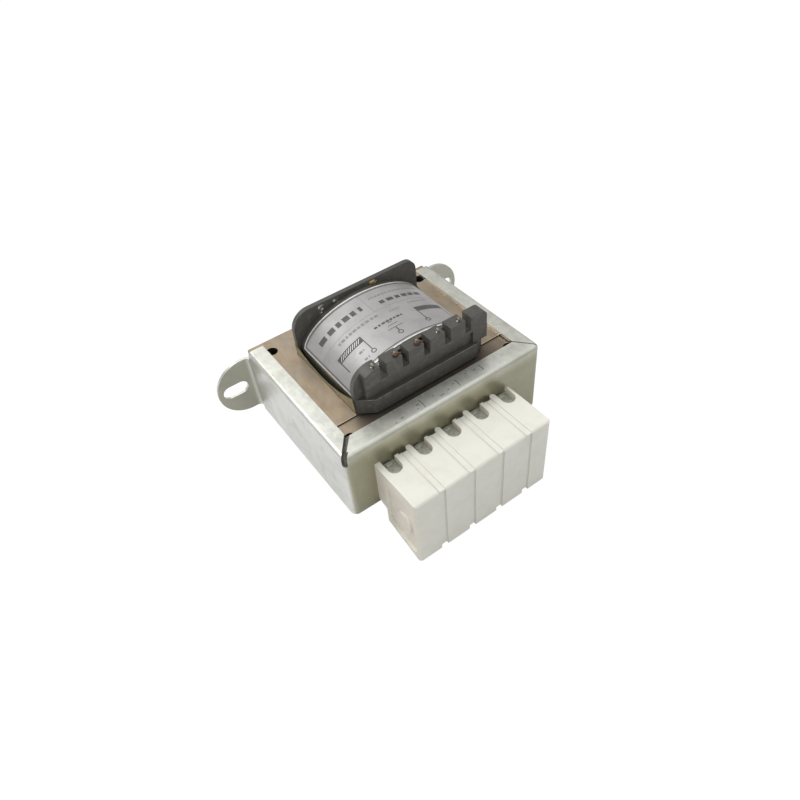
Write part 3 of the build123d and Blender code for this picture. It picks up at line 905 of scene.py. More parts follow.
@dataclass
class Bench:
    """What every sub-assembly works with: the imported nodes, the datum and the materials."""

    nodes: dict[str, bpy.types.Object]
    datum: Datum
    palette: Palette
    made: list[str] = field(default_factory=list)

    def piece(self, name: str, surface: Surface, finish: Finish, slot: str, smooth: bool = True,
              stands_for: Sequence[str] = ()) -> bpy.types.Object:
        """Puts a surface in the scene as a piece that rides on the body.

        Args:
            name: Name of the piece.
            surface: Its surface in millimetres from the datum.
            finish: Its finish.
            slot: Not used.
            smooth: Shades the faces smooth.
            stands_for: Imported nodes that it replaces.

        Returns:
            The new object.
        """
        mesh = bpy.data.meshes.new(name)
        mesh.from_pydata(self.datum.row(surface.points).tolist(), [], surface.quads.tolist())
        if surface.flat is not None:
            layer = mesh.uv_layers.new(name="flat")
            corner = np.zeros(len(mesh.loops), np.int32)
            mesh.loops.foreach_get("vertex_index", corner)
            layer.data.foreach_set("uv", surface.flat[corner].astype(np.float32).ravel())
        weld(mesh)
        mesh.polygons.foreach_set("use_smooth", np.full(len(mesh.polygons), smooth))
        mesh.materials.append(self.palette.get(finish))
        return self.placed(name, mesh, stands_for)

    def placed(self, name: str, mesh: bpy.types.Mesh,
               stands_for: Sequence[str]) -> bpy.types.Object:
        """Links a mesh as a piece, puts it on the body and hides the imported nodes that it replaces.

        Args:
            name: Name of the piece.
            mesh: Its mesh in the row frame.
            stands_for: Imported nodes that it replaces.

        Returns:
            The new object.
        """
        made = bpy.data.objects.new(name, mesh)
        bpy.context.scene.collection.objects.link(made)
        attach(made, BODY)
        if stands_for:
            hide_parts(*stands_for)
        self.made.append(name)
        LOG.info("%s: %d faces", name, len(mesh.polygons))
        return made

    def softened(self, node: str, name: str, finish: Finish, slot: str, edge_mm: float,
                 edge_finish: Optional[Finish] = None) -> bpy.types.Object:
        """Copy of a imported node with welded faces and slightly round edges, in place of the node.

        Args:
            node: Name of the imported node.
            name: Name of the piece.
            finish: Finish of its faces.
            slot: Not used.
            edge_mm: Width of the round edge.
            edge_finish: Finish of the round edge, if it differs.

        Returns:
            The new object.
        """
        mesh = self.nodes[node].data.copy()
        mesh.name = name
        work = bmesh.new()
        work.from_mesh(mesh)
        bmesh.ops.remove_doubles(work, verts=work.verts, dist=SOLID_WELD_M)
        bmesh.ops.dissolve_limit(work, angle_limit=FLAT_FACE, verts=work.verts, edges=work.edges)
        for edge in work.edges:
            edge.smooth = edge.calc_face_angle(0.0) < SHARP_EDGE
        for face in work.faces:
            face.smooth = True
        work.to_mesh(mesh)
        work.free()
        mesh.materials.clear()
        mesh.materials.append(self.palette.get(finish))
        made = self.placed(name, mesh, [node])
        bevel = made.modifiers.new("round edges", "BEVEL")
        bevel.width = edge_mm * MM
        bevel.segments = EDGE_STEPS
        bevel.limit_method = "ANGLE"
        bevel.angle_limit = SHARP_EDGE
        bevel.harden_normals = True
        if edge_finish is not None:
            mesh.materials.append(self.palette.get(edge_finish))
            bevel.material = 1
        return made

    def dress(self, node: str, finish: Finish) -> None:
        """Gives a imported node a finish.

        Args:
            node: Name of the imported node.
            finish: Finish of all its faces.
        """
        slots = self.nodes[node].data.materials
        slots.clear()
        slots.append(self.palette.get(finish))
        LOG.info("%s keeps its solid", node)


def weld(mesh: bpy.types.Mesh) -> None:
    """Merges points that coincide, so that seams and poles are closed.

    Args:
        mesh: The mesh, which is changed in place.
    """
    work = bmesh.new()
    work.from_mesh(mesh)
    bmesh.ops.remove_doubles(work, verts=work.verts, dist=SURFACE_WELD_M)
    work.to_mesh(mesh)
    work.free()


@dataclass
class ClampFrame:
    """Folded channel of zinc-plated sheet with its cut edges and setting-out marks."""

    bench: Bench
    edge_mm: float = 0.14
    mark_lift_mm: float = 0.015
    mark_width_mm: float = 0.26
    mark_bow_mm: float = 0.25
    dash_lean_mm: float = 0.15
    cross_marks: tuple = ((-8.3, 2.2, 6.4), (7.3, 2.6, 6.2), (18.7, 3.4, 6.6))
    dashes: tuple = (
        (2.4, 3.6, 1.0), (-1.2, 2.9, 1.6), (-10.5, 4.6, 1.4), (-18.0, 3.0, 1.4), (-20.6, 2.4, 0.8),
        (-11.2, 3.0, 0.7), (12.0, 6.0, 0.9), (5.4, 4.8, 0.8), (15.6, 5.4, 1.0), (-3.4, 4.6, 0.6),
    )

    def build(self) -> None:
        """Builds the sheet and its marks."""
        self.bench.softened("clamp_frame", "frame_sheet", Finish.ZINC, "zinc_steel", self.edge_mm,
                            Finish.ZINC_EDGE)
        self.bench.piece("lip_marks", self.marks(), Finish.SCRIBE, "zinc_steel")

    def marks(self) -> Surface:
        """Thin dark strokes on the front lip: some square across it, some short dashes along it.

        Returns:
            All strokes as flat strips just above the lip.
        """
        top = self.bench.datum.node_mm("clamp_frame")[1][2] + self.mark_lift_mm
        strips = []
        for x, y0, y1 in self.cross_marks:
            path = np.array([[x, y0, top], [x + self.mark_bow_mm, (y0 + y1) / 2, top], [x, y1, top]])
            strips.append(ribbon(path, (-1, 0, 0), self.mark_width_mm))
        for x, y, length in self.dashes:
            path = np.array([[x, y, top], [x + length, y + self.dash_lean_mm, top]])
            strips.append(ribbon(path, (0, 1, 0), self.mark_width_mm))
        return joined(strips)


@dataclass
class LaminatedCore:
    """Stacks of varnished E and I sheets, with sheet ends at the back, a painted shadow at the front left
    corner and a painted highlight along the joint.
    """

    bench: Bench
    sheet_mm: float = 0.5
    edge_mm: float = 0.2
    comb_depth_mm: float = 0.1
    notch_mm: tuple = (0.04, 0.1, 0.12)
    end_inset_mm: float = 0.3
    end_columns: int = 9
    skin_mm: float = 0.03
    varnish_mm: tuple = (7.4, 8.2, 4.6)
    joint_mm: tuple = (5.6, 0.3)
    seed: int = 7

    def build(self) -> None:
        """Builds both stacks, the sheet ends, the painted corner shadow and the painted joint highlight."""
        for node, name in (("e_laminations", "e_stack"), ("i_laminations", "i_stack")):
            self.bench.softened(node, name, Finish.VARNISHED_STEEL, "lamination_steel", self.edge_mm,
                                Finish.STEEL_EDGE)
        self.bench.piece("back_sheet_ends", self.sheet_ends(), Finish.VARNISHED_STEEL, "lamination_steel",
                         smooth=False)
        # Painted shadow on the core's front left corner.
        self.bench.piece("corner_varnish", self.corner_varnish(), Finish.VARNISH, "lamination_steel")
        # Painted highlight along the joint of the E and I stacks.
        self.bench.piece("stack_front_edge", self.joint_highlight(), Finish.STEEL_EDGE, "lamination_steel")

    def joint_highlight(self) -> Surface:
        """Painted highlight: a bright strip on the E stack's top sheet along the joint, where its edge
        catches the light.

        Returns:
            A strip between the frame's side lips.
        """
        low, high = self.bench.datum.node_mm("e_laminations")
        inset, width = self.joint_mm
        y, z = low[1] + width / 2, high[2] + self.skin_mm
        path = np.array([[low[0] + inset, y, z], [0.0, y, z], [high[0] - inset, y, z]])
        return ribbon(path, (0.0, 1.0, 0.0), width)

    def corner_varnish(self) -> Surface:
        """Painted shadow: a dark patch on the core's front left corner, where shade falls, seen through the
        open mitre.

        Returns:
            One patch on the top face and one folded round the upright edge.
        """
        low, high = self.bench.datum.node_mm("i_laminations")
        across, back, down = self.varnish_mm
        top = high[2] + self.skin_mm
        x0, y0 = low[0] - self.skin_mm, low[1] - self.skin_mm
        flat = [[x0, y0, top], [low[0] + across, y0, top], [low[0] + across, low[1] + back, top],
                [x0, low[1] + back, top]]
        bend = [[x0, low[1] + back / 2], [x0, y0], [low[0] + back / 2, y0]]
        side = [[x, y, z] for x, y in bend for z in (top - down, top)]
        return joined([Surface(np.array(flat), np.array([[0, 1, 2, 3]])),
                       Surface(np.array(side), grid_quads(3, 2))])

    def sheet_ends(self) -> Surface:
        """Back face sheet by sheet: each sheet ends a little nearer or farther, with a notch between two.

        Returns:
            A grid whose rows follow the stack's height.
        """
        low, high = self.bench.datum.node_mm("e_laminations")
        start, full, notch = self.notch_mm
        count = int(round((high[2] - low[2]) / self.sheet_mm))
        shift = np.random.default_rng(self.seed).uniform(0.0, self.comb_depth_mm, count)
        level = np.linspace(low[2], high[2], count + 1)
        heights = np.stack([level[:-1] + start, level[:-1] + full, level[1:] - full, level[1:] - start], 1)
        depths = np.stack([shift + notch, shift, shift, shift + notch], 1)
        across = np.linspace(low[0] + self.end_inset_mm, high[0] - self.end_inset_mm, self.end_columns)
        z, x = np.meshgrid(heights.ravel(), across, indexing="ij")
        y = np.broadcast_to((high[1] - depths).reshape(-1, 1), z.shape)
        return Surface(np.stack([x, y, z], -1).reshape(-1, 3), grid_quads(len(z), len(across)))


@dataclass
class CoilArch:
    """Arch of the coil: half an ellipse over two straight sides, measured along its own length."""

    centre_z: float
    half_width: float
    rise: float
    steps: int = 360

    def points(self, along: np.ndarray, depth: np.ndarray, lift: float) -> np.ndarray:
        """Carries flat coordinates onto the arch by arc length.

        Args:
            along: Distance from the crown, to the right where positive.
            depth: Distance back from the frame's front face.
            lift: Distance above the arch.

        Returns:
            Points in millimetres from the datum.
        """
        turn = np.linspace(-np.pi / 2, np.pi / 2, 2 * self.steps + 1)
        x = self.half_width * np.sin(turn)
        z = self.rise * np.cos(turn)
        run = np.concatenate([[0.0], np.cumsum(np.hypot(np.diff(x), np.diff(z)))])
        run -= run[self.steps]
        angle = np.interp(along, run, turn)
        normal_x = self.rise * np.sin(angle)
        normal_z = self.half_width * np.cos(angle)
        size = np.hypot(normal_x, normal_z)
        return np.stack([
            self.half_width * np.sin(angle) + lift * normal_x / size,
            np.broadcast_to(depth, np.shape(angle)).astype(float),
            self.centre_z + self.rise * np.cos(angle) + lift * normal_z / size,
        ], -1)

    def reach(self, height: float) -> float:
        """Distance along the arch from its crown down to a height.

        Args:
            height: Height over the datum.

        Returns:
            Length of the arc in millimetres.
        """
        angle = math.acos((height - self.centre_z) / self.rise)
        turn = np.linspace(0, angle, self.steps + 1)
        x = self.half_width * np.sin(turn)
        z = self.rise * np.cos(turn)
        return float(np.hypot(np.diff(x), np.diff(z)).sum())


@dataclass
class RatingPlate:
    """Foil plate on the coil, with plain fields, bars and symbols and no words."""

    bench: Bench
    arch: CoilArch
    thick_mm: float = 0.15
    solid_share: float = 0.8
    foot_mm: float = 0.1
    grid: tuple = (97, 25)
    step_mm: float = 0.8
    rim_mm: tuple = (0.3, 0.5)
    border_in_mm: float = 1.3
    line_mm: float = 0.4
    ink_lift_mm: float = 0.02
    divider_mm: float = 13.4
    split_mm: float = -2.2
    divider_halves_mm: tuple = (0.09, 0.1)
    bar_mm: float = 2.8
    bars: tuple = ((-24.4, -13.2, 19.4, 27.6), (10.8, 22.6, 19.2, 27.6))
    ring_mm: float = 0.85
    ring_points: int = 28
    rings: tuple = ((-13.2, 28.6), (-1.3, 28.4), (10.8, 28.0))
    earth_stem_mm: float = 3.4
    earth_half_mm: float = 0.14
    earth_lines: tuple = ((3.1, 3.4), (2.0, 5.2), (0.9, 6.8))
    hatch_ends_mm: tuple = (1.2, 1.0)
    hatch_pitch_mm: float = 0.95
    hatch_lean_mm: float = 0.7
    hatch_in_mm: float = 0.5
    hatch_width_mm: float = 0.2
    hatch_layers: float = 2.0
    dash_run: tuple = (0.7, 1.5)
    dash_gap: tuple = (0.35, 0.6)
    bold_seed: int = 5
    bold_rows: tuple = ((8.2, -25.0, -4.6, 2.6), (10.0, 2.2, 20.6, 1.9), (20.6, -7.4, 4.6, 1.0))
    fine_seed: int = 3
    fine_rows: tuple = ((15.6, -20.4, -2.2, 1.2), (15.5, 10.8, 19.4, 0.9), (5.7, 0.0, 22.4, 0.9),
                        (25.4, -17.6, -15.4, 1.0), (29.2, -17.8, -15.6, 1.0), (16.6, 2.0, 6.2, 0.8))

    def __post_init__(self) -> None:
        """Takes half the plate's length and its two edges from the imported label."""
        low, high = self.bench.datum.node_mm("rating_label")
        self.half = self.arch.reach(low[2] + self.foot_mm)
        self.front, self.back = low[1], high[1]

    def build(self) -> None:
        """Builds the foil, its bright rim and its print."""
        foil = self.bench.piece("plate_foil", self.sheet(), Finish.FOIL, "label_foil", True, ["rating_label"])
        thick = foil.modifiers.new("foil thickness", "SOLIDIFY")
        thick.thickness = self.thick_mm * MM * self.solid_share
        thick.offset = -1
        self.bench.piece("plate_rim", self.rim(), Finish.FOIL_EDGE, "label_foil")
        self.bench.piece("plate_print", self.dark_print(), Finish.INK, "label_foil")
        self.bench.piece("plate_hatch", self.hatch(), Finish.FOIL_EDGE, "label_foil")
        self.bench.piece("plate_grey_print", self.grey_print(), Finish.GREY_INK, "label_foil")

    def sheet(self) -> Surface:
        """Foil: a grid of arc length by depth, lifted by its own thickness.

        Returns:
            The outer face of the foil.
        """
        rows, columns = self.grid
        along, depth = np.meshgrid(np.linspace(-self.half, self.half, rows),
                                   np.linspace(self.front, self.back, columns), indexing="ij")
        points = self.arch.points(along, depth, self.thick_mm)
        flat = np.stack([(along + self.half) / (2 * self.half),
                         (depth - self.front) / (self.back - self.front)], -1)
        return Surface(points.reshape(-1, 3), grid_quads(rows, columns), flat.reshape(-1, 2))

    def patch(self, s0: float, s1: float, y0: float, y1: float) -> Surface:
        """Rectangle of print: a grid of two rows in depth, laid on the arch.

        Args:
            s0: Start along the arch.
            s1: End along the arch.
            y0: Front edge.
            y1: Back edge.

        Returns:
            The rectangle, one ink layer above the foil.
        """
        steps = max(2, int(abs(s1 - s0) / self.step_mm) + 2)
        along, depth = np.meshgrid(np.linspace(s0, s1, steps), np.linspace(y0, y1, 2), indexing="ij")
        points = self.arch.points(along, depth, self.thick_mm + self.ink_lift_mm)
        return Surface(points.reshape(-1, 3), grid_quads(steps, 2))

    def stroke(self, start: tuple, end: tuple, width: float, layers: float = 1.0) -> Surface:
        """Straight line of print: two points to either side of each point of the line, laid on the arch.

        Args:
            start: Flat point at which it starts.
            end: Flat point at which it ends.
            width: Width of the line.
            layers: Ink layers that it lies above the foil.

        Returns:
            The line as a strip.
        """
        a, b = np.array(start, float), np.array(end, float)
        run = b - a
        side = np.array([-run[1], run[0]]) / np.linalg.norm(run) * width / 2
        steps = max(2, int(np.linalg.norm(run) / self.step_mm) + 2)
        line = a + np.linspace(0, 1, steps)[:, None] * run
        flat = np.stack([line - side, line + side], 1)
        points = self.arch.points(flat[..., 0], flat[..., 1], self.thick_mm + layers * self.ink_lift_mm)
        return Surface(points.reshape(-1, 3), grid_quads(steps, 2))

    def loop(self, centre: tuple, radius: float, width: float) -> Surface:
        """Ring of print: two circles round a flat point, laid on the arch.

        Args:
            centre: Flat point in its middle.
            radius: Radius of its middle line.
            width: Width of the line.

        Returns:
            The ring as a closed strip.
        """
        turn = np.linspace(0, 2 * np.pi, self.ring_points, endpoint=False)
        size = np.array([radius - width / 2, radius + width / 2])
        along = centre[0] + np.cos(turn)[:, None] * size
        depth = centre[1] + np.sin(turn)[:, None] * size
        points = self.arch.points(along, depth, self.thick_mm + self.ink_lift_mm)
        return Surface(points.reshape(-1, 3), grid_quads(self.ring_points, 2, ring_rows=True)[:, ::-1])

    def frame_lines(self, inset: float, width: float) -> list[Surface]:
        """Four lines of print that follow the plate's outline.

        Args:
            inset: Distance of their middle from the outline.
            width: Width of the lines.

        Returns:
            One patch for each side.
        """
        s, y0, y1 = self.half - inset, self.front + inset, self.back - inset
        return [
            self.patch(-s, s, y0 - width / 2, y0 + width / 2),
            self.patch(-s, s, y1 - width / 2, y1 + width / 2),
            self.patch(-s - width / 2, -s + width / 2, y0 - width / 2, y1 + width / 2),
            self.patch(s - width / 2, s + width / 2, y0 - width / 2, y1 + width / 2),
        ]

    def rim(self) -> Surface:
        """Bright cut edge round the foil."""
        return joined(self.frame_lines(*self.rim_mm))

    def dark_print(self) -> Surface:
        """Border, two winding bars with leads to round terminals, an earth sign and bold dashes.

        Returns:
            All dark print as thin patches.
        """
        parts = self.frame_lines(self.border_in_mm, self.line_mm)
        for start, end, depth, lead in self.bars:
            parts.append(self.patch(start, end, self.back - depth - self.bar_mm, self.back - depth))
            for s in (start, end):
                parts.append(self.stroke((s, self.back - depth), (s, self.back - lead), self.line_mm))
        for s, depth in self.rings:
            parts.append(self.loop((s, self.back - depth), self.ring_mm, self.line_mm))
        earth_s, earth_depth = self.rings[1]
        parts.append(self.stroke((earth_s, self.back - earth_depth + self.ring_mm),
                                 (earth_s, self.back - earth_depth + self.earth_stem_mm), self.line_mm))
        for half, rise in self.earth_lines:
            depth = self.back - earth_depth + rise
            parts.append(self.patch(earth_s - half, earth_s + half, depth - self.earth_half_mm,
                                    depth + self.earth_half_mm))
        parts += self.dashes(self.bold_rows, self.bold_seed)
        return joined(parts)

    def grey_print(self) -> Surface:
        """Thin dividers and rows of short plain dashes in the fields.

        Returns:
            All grey print as thin patches.
        """
        s = self.half - self.border_in_mm
        divide = self.back - self.divider_mm
        along, across = self.divider_halves_mm
        parts = [
            self.patch(-s, s, divide - along, divide + along),
            self.patch(self.split_mm - across, self.split_mm + across, divide, self.back - self.border_in_mm),
        ]
        return joined(parts + self.dashes(self.fine_rows, self.fine_seed))

    def dashes(self, rows: Sequence[tuple], seed: int) -> list[Surface]:
        """Rows of plain dashes of uneven length that stand for lines of print.

        Args:
            rows: Depth from the back edge, start, end and height of each row.
            seed: Seed of the lengths.

        Returns:
            One patch for each dash.
        """
        rng = np.random.default_rng(seed)
        parts = []
        for depth, start, end, tall in rows:
            at = start
            while at < end:
                run = float(rng.uniform(*self.dash_run)) * tall
                y = self.back - depth
                parts.append(self.patch(at, min(at + run, end), y - tall / 2, y + tall / 2))
                at += run + float(rng.uniform(*self.dash_gap)) * tall
        return parts

    def hatch(self) -> Surface:
        """Bright slanting strokes over the first bar.

        Returns:
            All strokes, just above the dark print.
        """
        start, end, depth, _ = self.bars[0]
        first, last = self.hatch_ends_mm
        lean, inset = self.hatch_lean_mm, self.hatch_in_mm
        parts = []
        for s in np.arange(start + first, end - last, self.hatch_pitch_mm):
            parts.append(self.stroke((s - lean, self.back - depth - self.bar_mm + inset),
                                     (s + lean, self.back - depth - inset),
                                     self.hatch_width_mm, self.hatch_layers))
        return joined(parts)


@dataclass
class WoundBobbin:
    """Black bobbin with its windings, tape, foil plate, films, pins, tags, wound wire ends and solder."""

    bench: Bench
    edge_mm: float = 0.22
    arch_lift_mm: float = 2.5
    pins: int = 5
    pin_half_mm: float = 0.42
    point_mm: float = 0.5
    point_share: float = 0.45
    wrapped_pins: tuple = (2, 3)
    wire_mm: float = 0.5
    wire_slack: float = 1.2
    wire_sides: int = 10
    wire_upright: tuple = (0.02, 0.03, 1.0)
    turns: float = 3.4
    turn_points: int = 150
    lead_points: int = 24
    lead_slot_mm: tuple = (4.3, 2.2, -3.4)
    lead_bend_mm: tuple = (3.6, -0.6, 0.5)
    drop_mm: tuple = (0.62, 0.5)
    drop_segments: int = 16
    drop_off_mm: tuple = (-0.15, 0.1, -0.02)
    soldered_tags: tuple = (1, 2)
    rear_drops_at: tuple = ((0.25, 0.72, 0.8), (0.72, 0.42, 0.66), (0.5, 0.1, 0.45))
    rear_drop_rise: float = 0.7
    rear_drop_segments: int = 14
    flared_tag: int = 3
    flare_grid: tuple = (15, 11)
    flare_open: float = 0.35
    flare_foot_mm: float = 0.4
    flare_bow_mm: tuple = (0.08, 0.9)
    flare_crumple_mm: tuple = (0.22, 0.15)
    film_grid: tuple = (61, 25)
    film_mm: float = 0.15
    film_wave: tuple = ((0.0, 0.3, 0.7, 1.0), (7.4, 2.4, 1.5, 5.2))
    film_lean_mm: float = 0.5
    film_lean_power: float = 1.5
    film_ripple_mm: float = 0.1
    shelf_mm: tuple = (4.2, 6.0, 6.2)
    shelf_in_mm: tuple = (0.1, 0.12)
    shelf_lift_mm: float = 0.02
    shelf_line_mm: float = 0.3

    def build(self) -> None:
        """Builds the bobbin and all that it carries."""
        bench = self.bench
        bench.softened("bobbin", "bobbin_moulding", Finish.BLACK_MOULDING, "bobbin_plastic", self.edge_mm)
        bench.dress("primary_winding", Finish.ENAMEL_WIRE)
        bench.dress("interwinding_insulation", Finish.INSULATION)
        bench.dress("secondary_winding", Finish.ENAMEL_WIRE)
        bench.dress("outer_tape_wrap", Finish.TAPE)
        RatingPlate(bench, self.arch()).build()
        for side, node in ((-1, "window_film_left"), (1, "window_film_right")):
            self.film(side, node)
        for n in range(1, self.pins + 1):
            self.pin(n)
        for n in (*self.soldered_tags, self.flared_tag):
            bench.dress(f"rear_tag_{n}", Finish.BRASS if n == self.flared_tag else Finish.SOLDER)
        for n, pin in enumerate(self.wrapped_pins, 1):
            self.wrap(n, pin)
        bench.piece("pin_solder", self.solder(), Finish.SOLDER, "tag_tin")
        # Painted highlight along the shelf's front edge.
        bench.piece("shelf_edge", self.shelf_edge(), Finish.WORN_MOULDING, "bobbin_plastic")
        bench.piece("rear_solder", self.rear_drops(), Finish.SOLDER, "tag_tin")
        bench.piece("rear_flare", self.rear_flare(), Finish.BRASS, "tag_tin")

    def stack_top(self) -> float:
        """Height of the core's top face."""
        return self.bench.datum.node_mm("e_laminations")[1][2]

    def arch(self) -> CoilArch:
        """Arch that the tape makes over the coil.

        Returns:
            The arch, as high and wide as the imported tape.
        """
        high = self.bench.datum.node_mm("outer_tape_wrap")[1]
        centre_z = self.stack_top() + self.arch_lift_mm
        return CoilArch(centre_z, high[0], high[2] - centre_z)

    def rear_drops(self) -> Surface:
        """Small turned drops of solder on the rear tags.

        Returns:
            All drops in one surface.
        """
        drops = []
        for n in self.soldered_tags:
            low, high = self.bench.datum.node_mm(f"rear_tag_{n}")
            for share, rise, size in self.rear_drops_at:
                x, z = low[0] + share * (high[0] - low[0]), low[2] + rise * (high[2] - low[2])
                drops.append(drop(size, self.rear_drop_rise * size, self.rear_drop_segments,
                                  (x, low[1], z), (0, -1, 0)))
        return joined(drops)

    def rear_flare(self) -> Surface:
        """Flared brass end of a rear tag: a sheet that opens forwards and is crumpled by two waves.

        Its width grows with the height and its depth with the height's square. One wave runs across it and
        grows with the height, the other runs up it.

        Returns:
            The bent sheet.
        """
        low, high = self.bench.datum.node_mm(f"rear_tag_{self.flared_tag}")
        rows, columns = self.flare_grid
        u, w = np.meshgrid(np.linspace(0, 1, rows), np.linspace(0, 1, columns), indexing="ij")
        middle, half = (low[0] + high[0]) / 2, (high[0] - low[0]) / 2
        gap, bow = self.flare_bow_mm
        wide_wave, tall_wave = self.flare_crumple_mm
        x = middle + (2 * w - 1) * half * (1 + self.flare_open * u)
        z = low[2] + self.flare_foot_mm + u * (high[2] - low[2] - self.flare_foot_mm)
        y = low[1] - gap - bow * u ** 2 - wide_wave * np.sin(5 * w + 2) * u - tall_wave * np.sin(7 * u)
        return Surface(np.stack([x, y, z], -1).reshape(-1, 3), grid_quads(rows, columns)[:, ::-1])

    def shelf_edge(self) -> Surface:
        """Painted highlight: a light line along the front edge of the tag shelf and down its left slant.

        Returns:
            A narrow strip just above the shelf.
        """
        low, high = self.bench.datum.node_mm("bobbin")
        reach, corner, rise = self.shelf_mm
        side, inset = self.shelf_in_mm
        front = low[1] + inset
        level = self.stack_top() + rise + self.shelf_lift_mm
        path = np.array([
            [low[0] + side, front + reach, level],
            [low[0] + corner, front, level],
            [high[0] - corner, front, level],
        ])
        return ribbon(path, (0.0, 1.0, 0.0), self.shelf_line_mm)

    def film(self, side: int, node: str) -> None:
        """Olive film: it stands beside the leg, high at its ends and low between, and leans as it rises.

        Its upper edge is a cubic curve through four rises. Its lean is a power of the height over the stack,
        with a sine ripple that grows with that height.

        Args:
            side: Minus one for the left, one for the right.
            node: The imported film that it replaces.
        """
        low, high = self.bench.datum.node_mm(node)
        rows, columns = self.film_grid
        v, w = np.meshgrid(np.linspace(0, 1, rows), np.linspace(0, 1, columns), indexing="ij")
        stack_top = self.stack_top()
        shares, rises = self.film_wave
        top = stack_top + np.polyval(np.polyfit(shares, rises, 3), v)
        z = low[2] + w * (top - low[2])
        over = np.clip((z - stack_top) / (high[2] - stack_top), 0, 1)
        ripple = self.film_ripple_mm * np.sin(15 * v + 3 * w) * over
        lean = self.film_lean_mm * over ** self.film_lean_power
        x = side * (abs(low[0] + high[0]) / 2 + lean + ripple)
        y = low[1] + v * (high[1] - low[1])
        quads = grid_quads(rows, columns)
        surface = Surface(np.stack([x, y, z], -1).reshape(-1, 3), quads if side > 0 else quads[:, ::-1])
        made = self.bench.piece(f"{node}_sheet", surface, Finish.FILM, "window_film", True, [node])
        thick = made.modifiers.new("film thickness", "SOLIDIFY")
        thick.thickness = self.film_mm * MM
        thick.offset = 0

    def pin_centre(self, n: int) -> tuple[float, float]:
        """Middle of a pin, seen from above."""
        low, high = self.bench.datum.node_mm(f"solder_tag_{n}")
        return (low[0] + high[0]) / 2, (low[1] + high[1]) / 2

    def pin(self, n: int) -> None:
        """Square pin with a blunt four-sided point: a profile of half widths and heights carried round it.

        Args:
            n: Number of the pin from the left.
        """
        low, high = self.bench.datum.node_mm(f"solder_tag_{n}")
        half, foot, top = self.pin_half_mm, low[2], high[2]
        levels = np.array([[0.0, foot], [half, foot], [half, top - self.point_mm],
                           [half * self.point_share, top], [0.0, top]])
        corner = np.array([[-1, -1], [1, -1], [1, 1], [-1, 1]])
        points = np.zeros((len(levels), len(corner), 3))
        points[..., :2] = np.array(self.pin_centre(n)) + corner[None] * levels[:, 0][:, None, None]
        points[..., 2] = levels[:, 1][:, None]
        quads = grid_quads(len(levels), len(corner), ring_columns=True)[:, ::-1]
        self.bench.piece(f"pin_{n}", Surface(points.reshape(-1, 3), quads), Finish.TINNED_PIN, "tag_tin",
                         False, [f"solder_tag_{n}"])

    def wrap(self, n: int, pin: int) -> None:
        """Wire end wound on a pin: a helix that leaves sideways and dips into the slot beside the post.

        The lead from the slot to the helix is a quadratic curve through its bend.

        Args:
            n: Number of the wound end.
            pin: Number of the pin that it is wound on.
        """
        x, y = self.pin_centre(pin)
        low, high = self.bench.datum.node_mm(f"winding_end_{n}")
        r = self.wire_mm / 2
        turn = np.linspace(0, 2 * np.pi * self.turns, self.turn_points)
        size = self.pin_half_mm * self.wire_slack + r
        rise = low[2] + r + (high[2] - low[2] - 2 * r) * turn / turn[-1]
        coil = np.stack([x + size * np.cos(turn), y + size * np.sin(turn), rise], -1)
        foot = np.array([x, y, low[2]])
        slot, bend = foot + self.lead_slot_mm, foot + self.lead_bend_mm
        u = np.linspace(0, 1, self.lead_points)[1:, None]
        lead = (1 - u) ** 2 * coil[0] + 2 * u * (1 - u) * bend + u ** 2 * slot
        surface = tube(np.concatenate([lead[::-1], coil]), r, self.wire_sides, self.wire_upright)
        self.bench.piece(f"wrapped_wire_{n}", surface, Finish.ENAMEL_WIRE, "winding_copper", True,
                         [f"winding_end_{n}"])

    def solder(self) -> Surface:
        """Solder left on the pins: small turned drops, wider at the foot.

        Returns:
            All drops in one surface.
        """
        rail = self.bench.datum.node_mm("bobbin")[1][2]
        right, back, up = self.drop_off_mm
        drops = []
        for n in range(1, self.pins + 1):
            x, y = self.pin_centre(n)
            drops.append(drop(*self.drop_mm, self.drop_segments, (x + right, y + back, rail + up), (0, 0, 1)))
        return joined(drops)


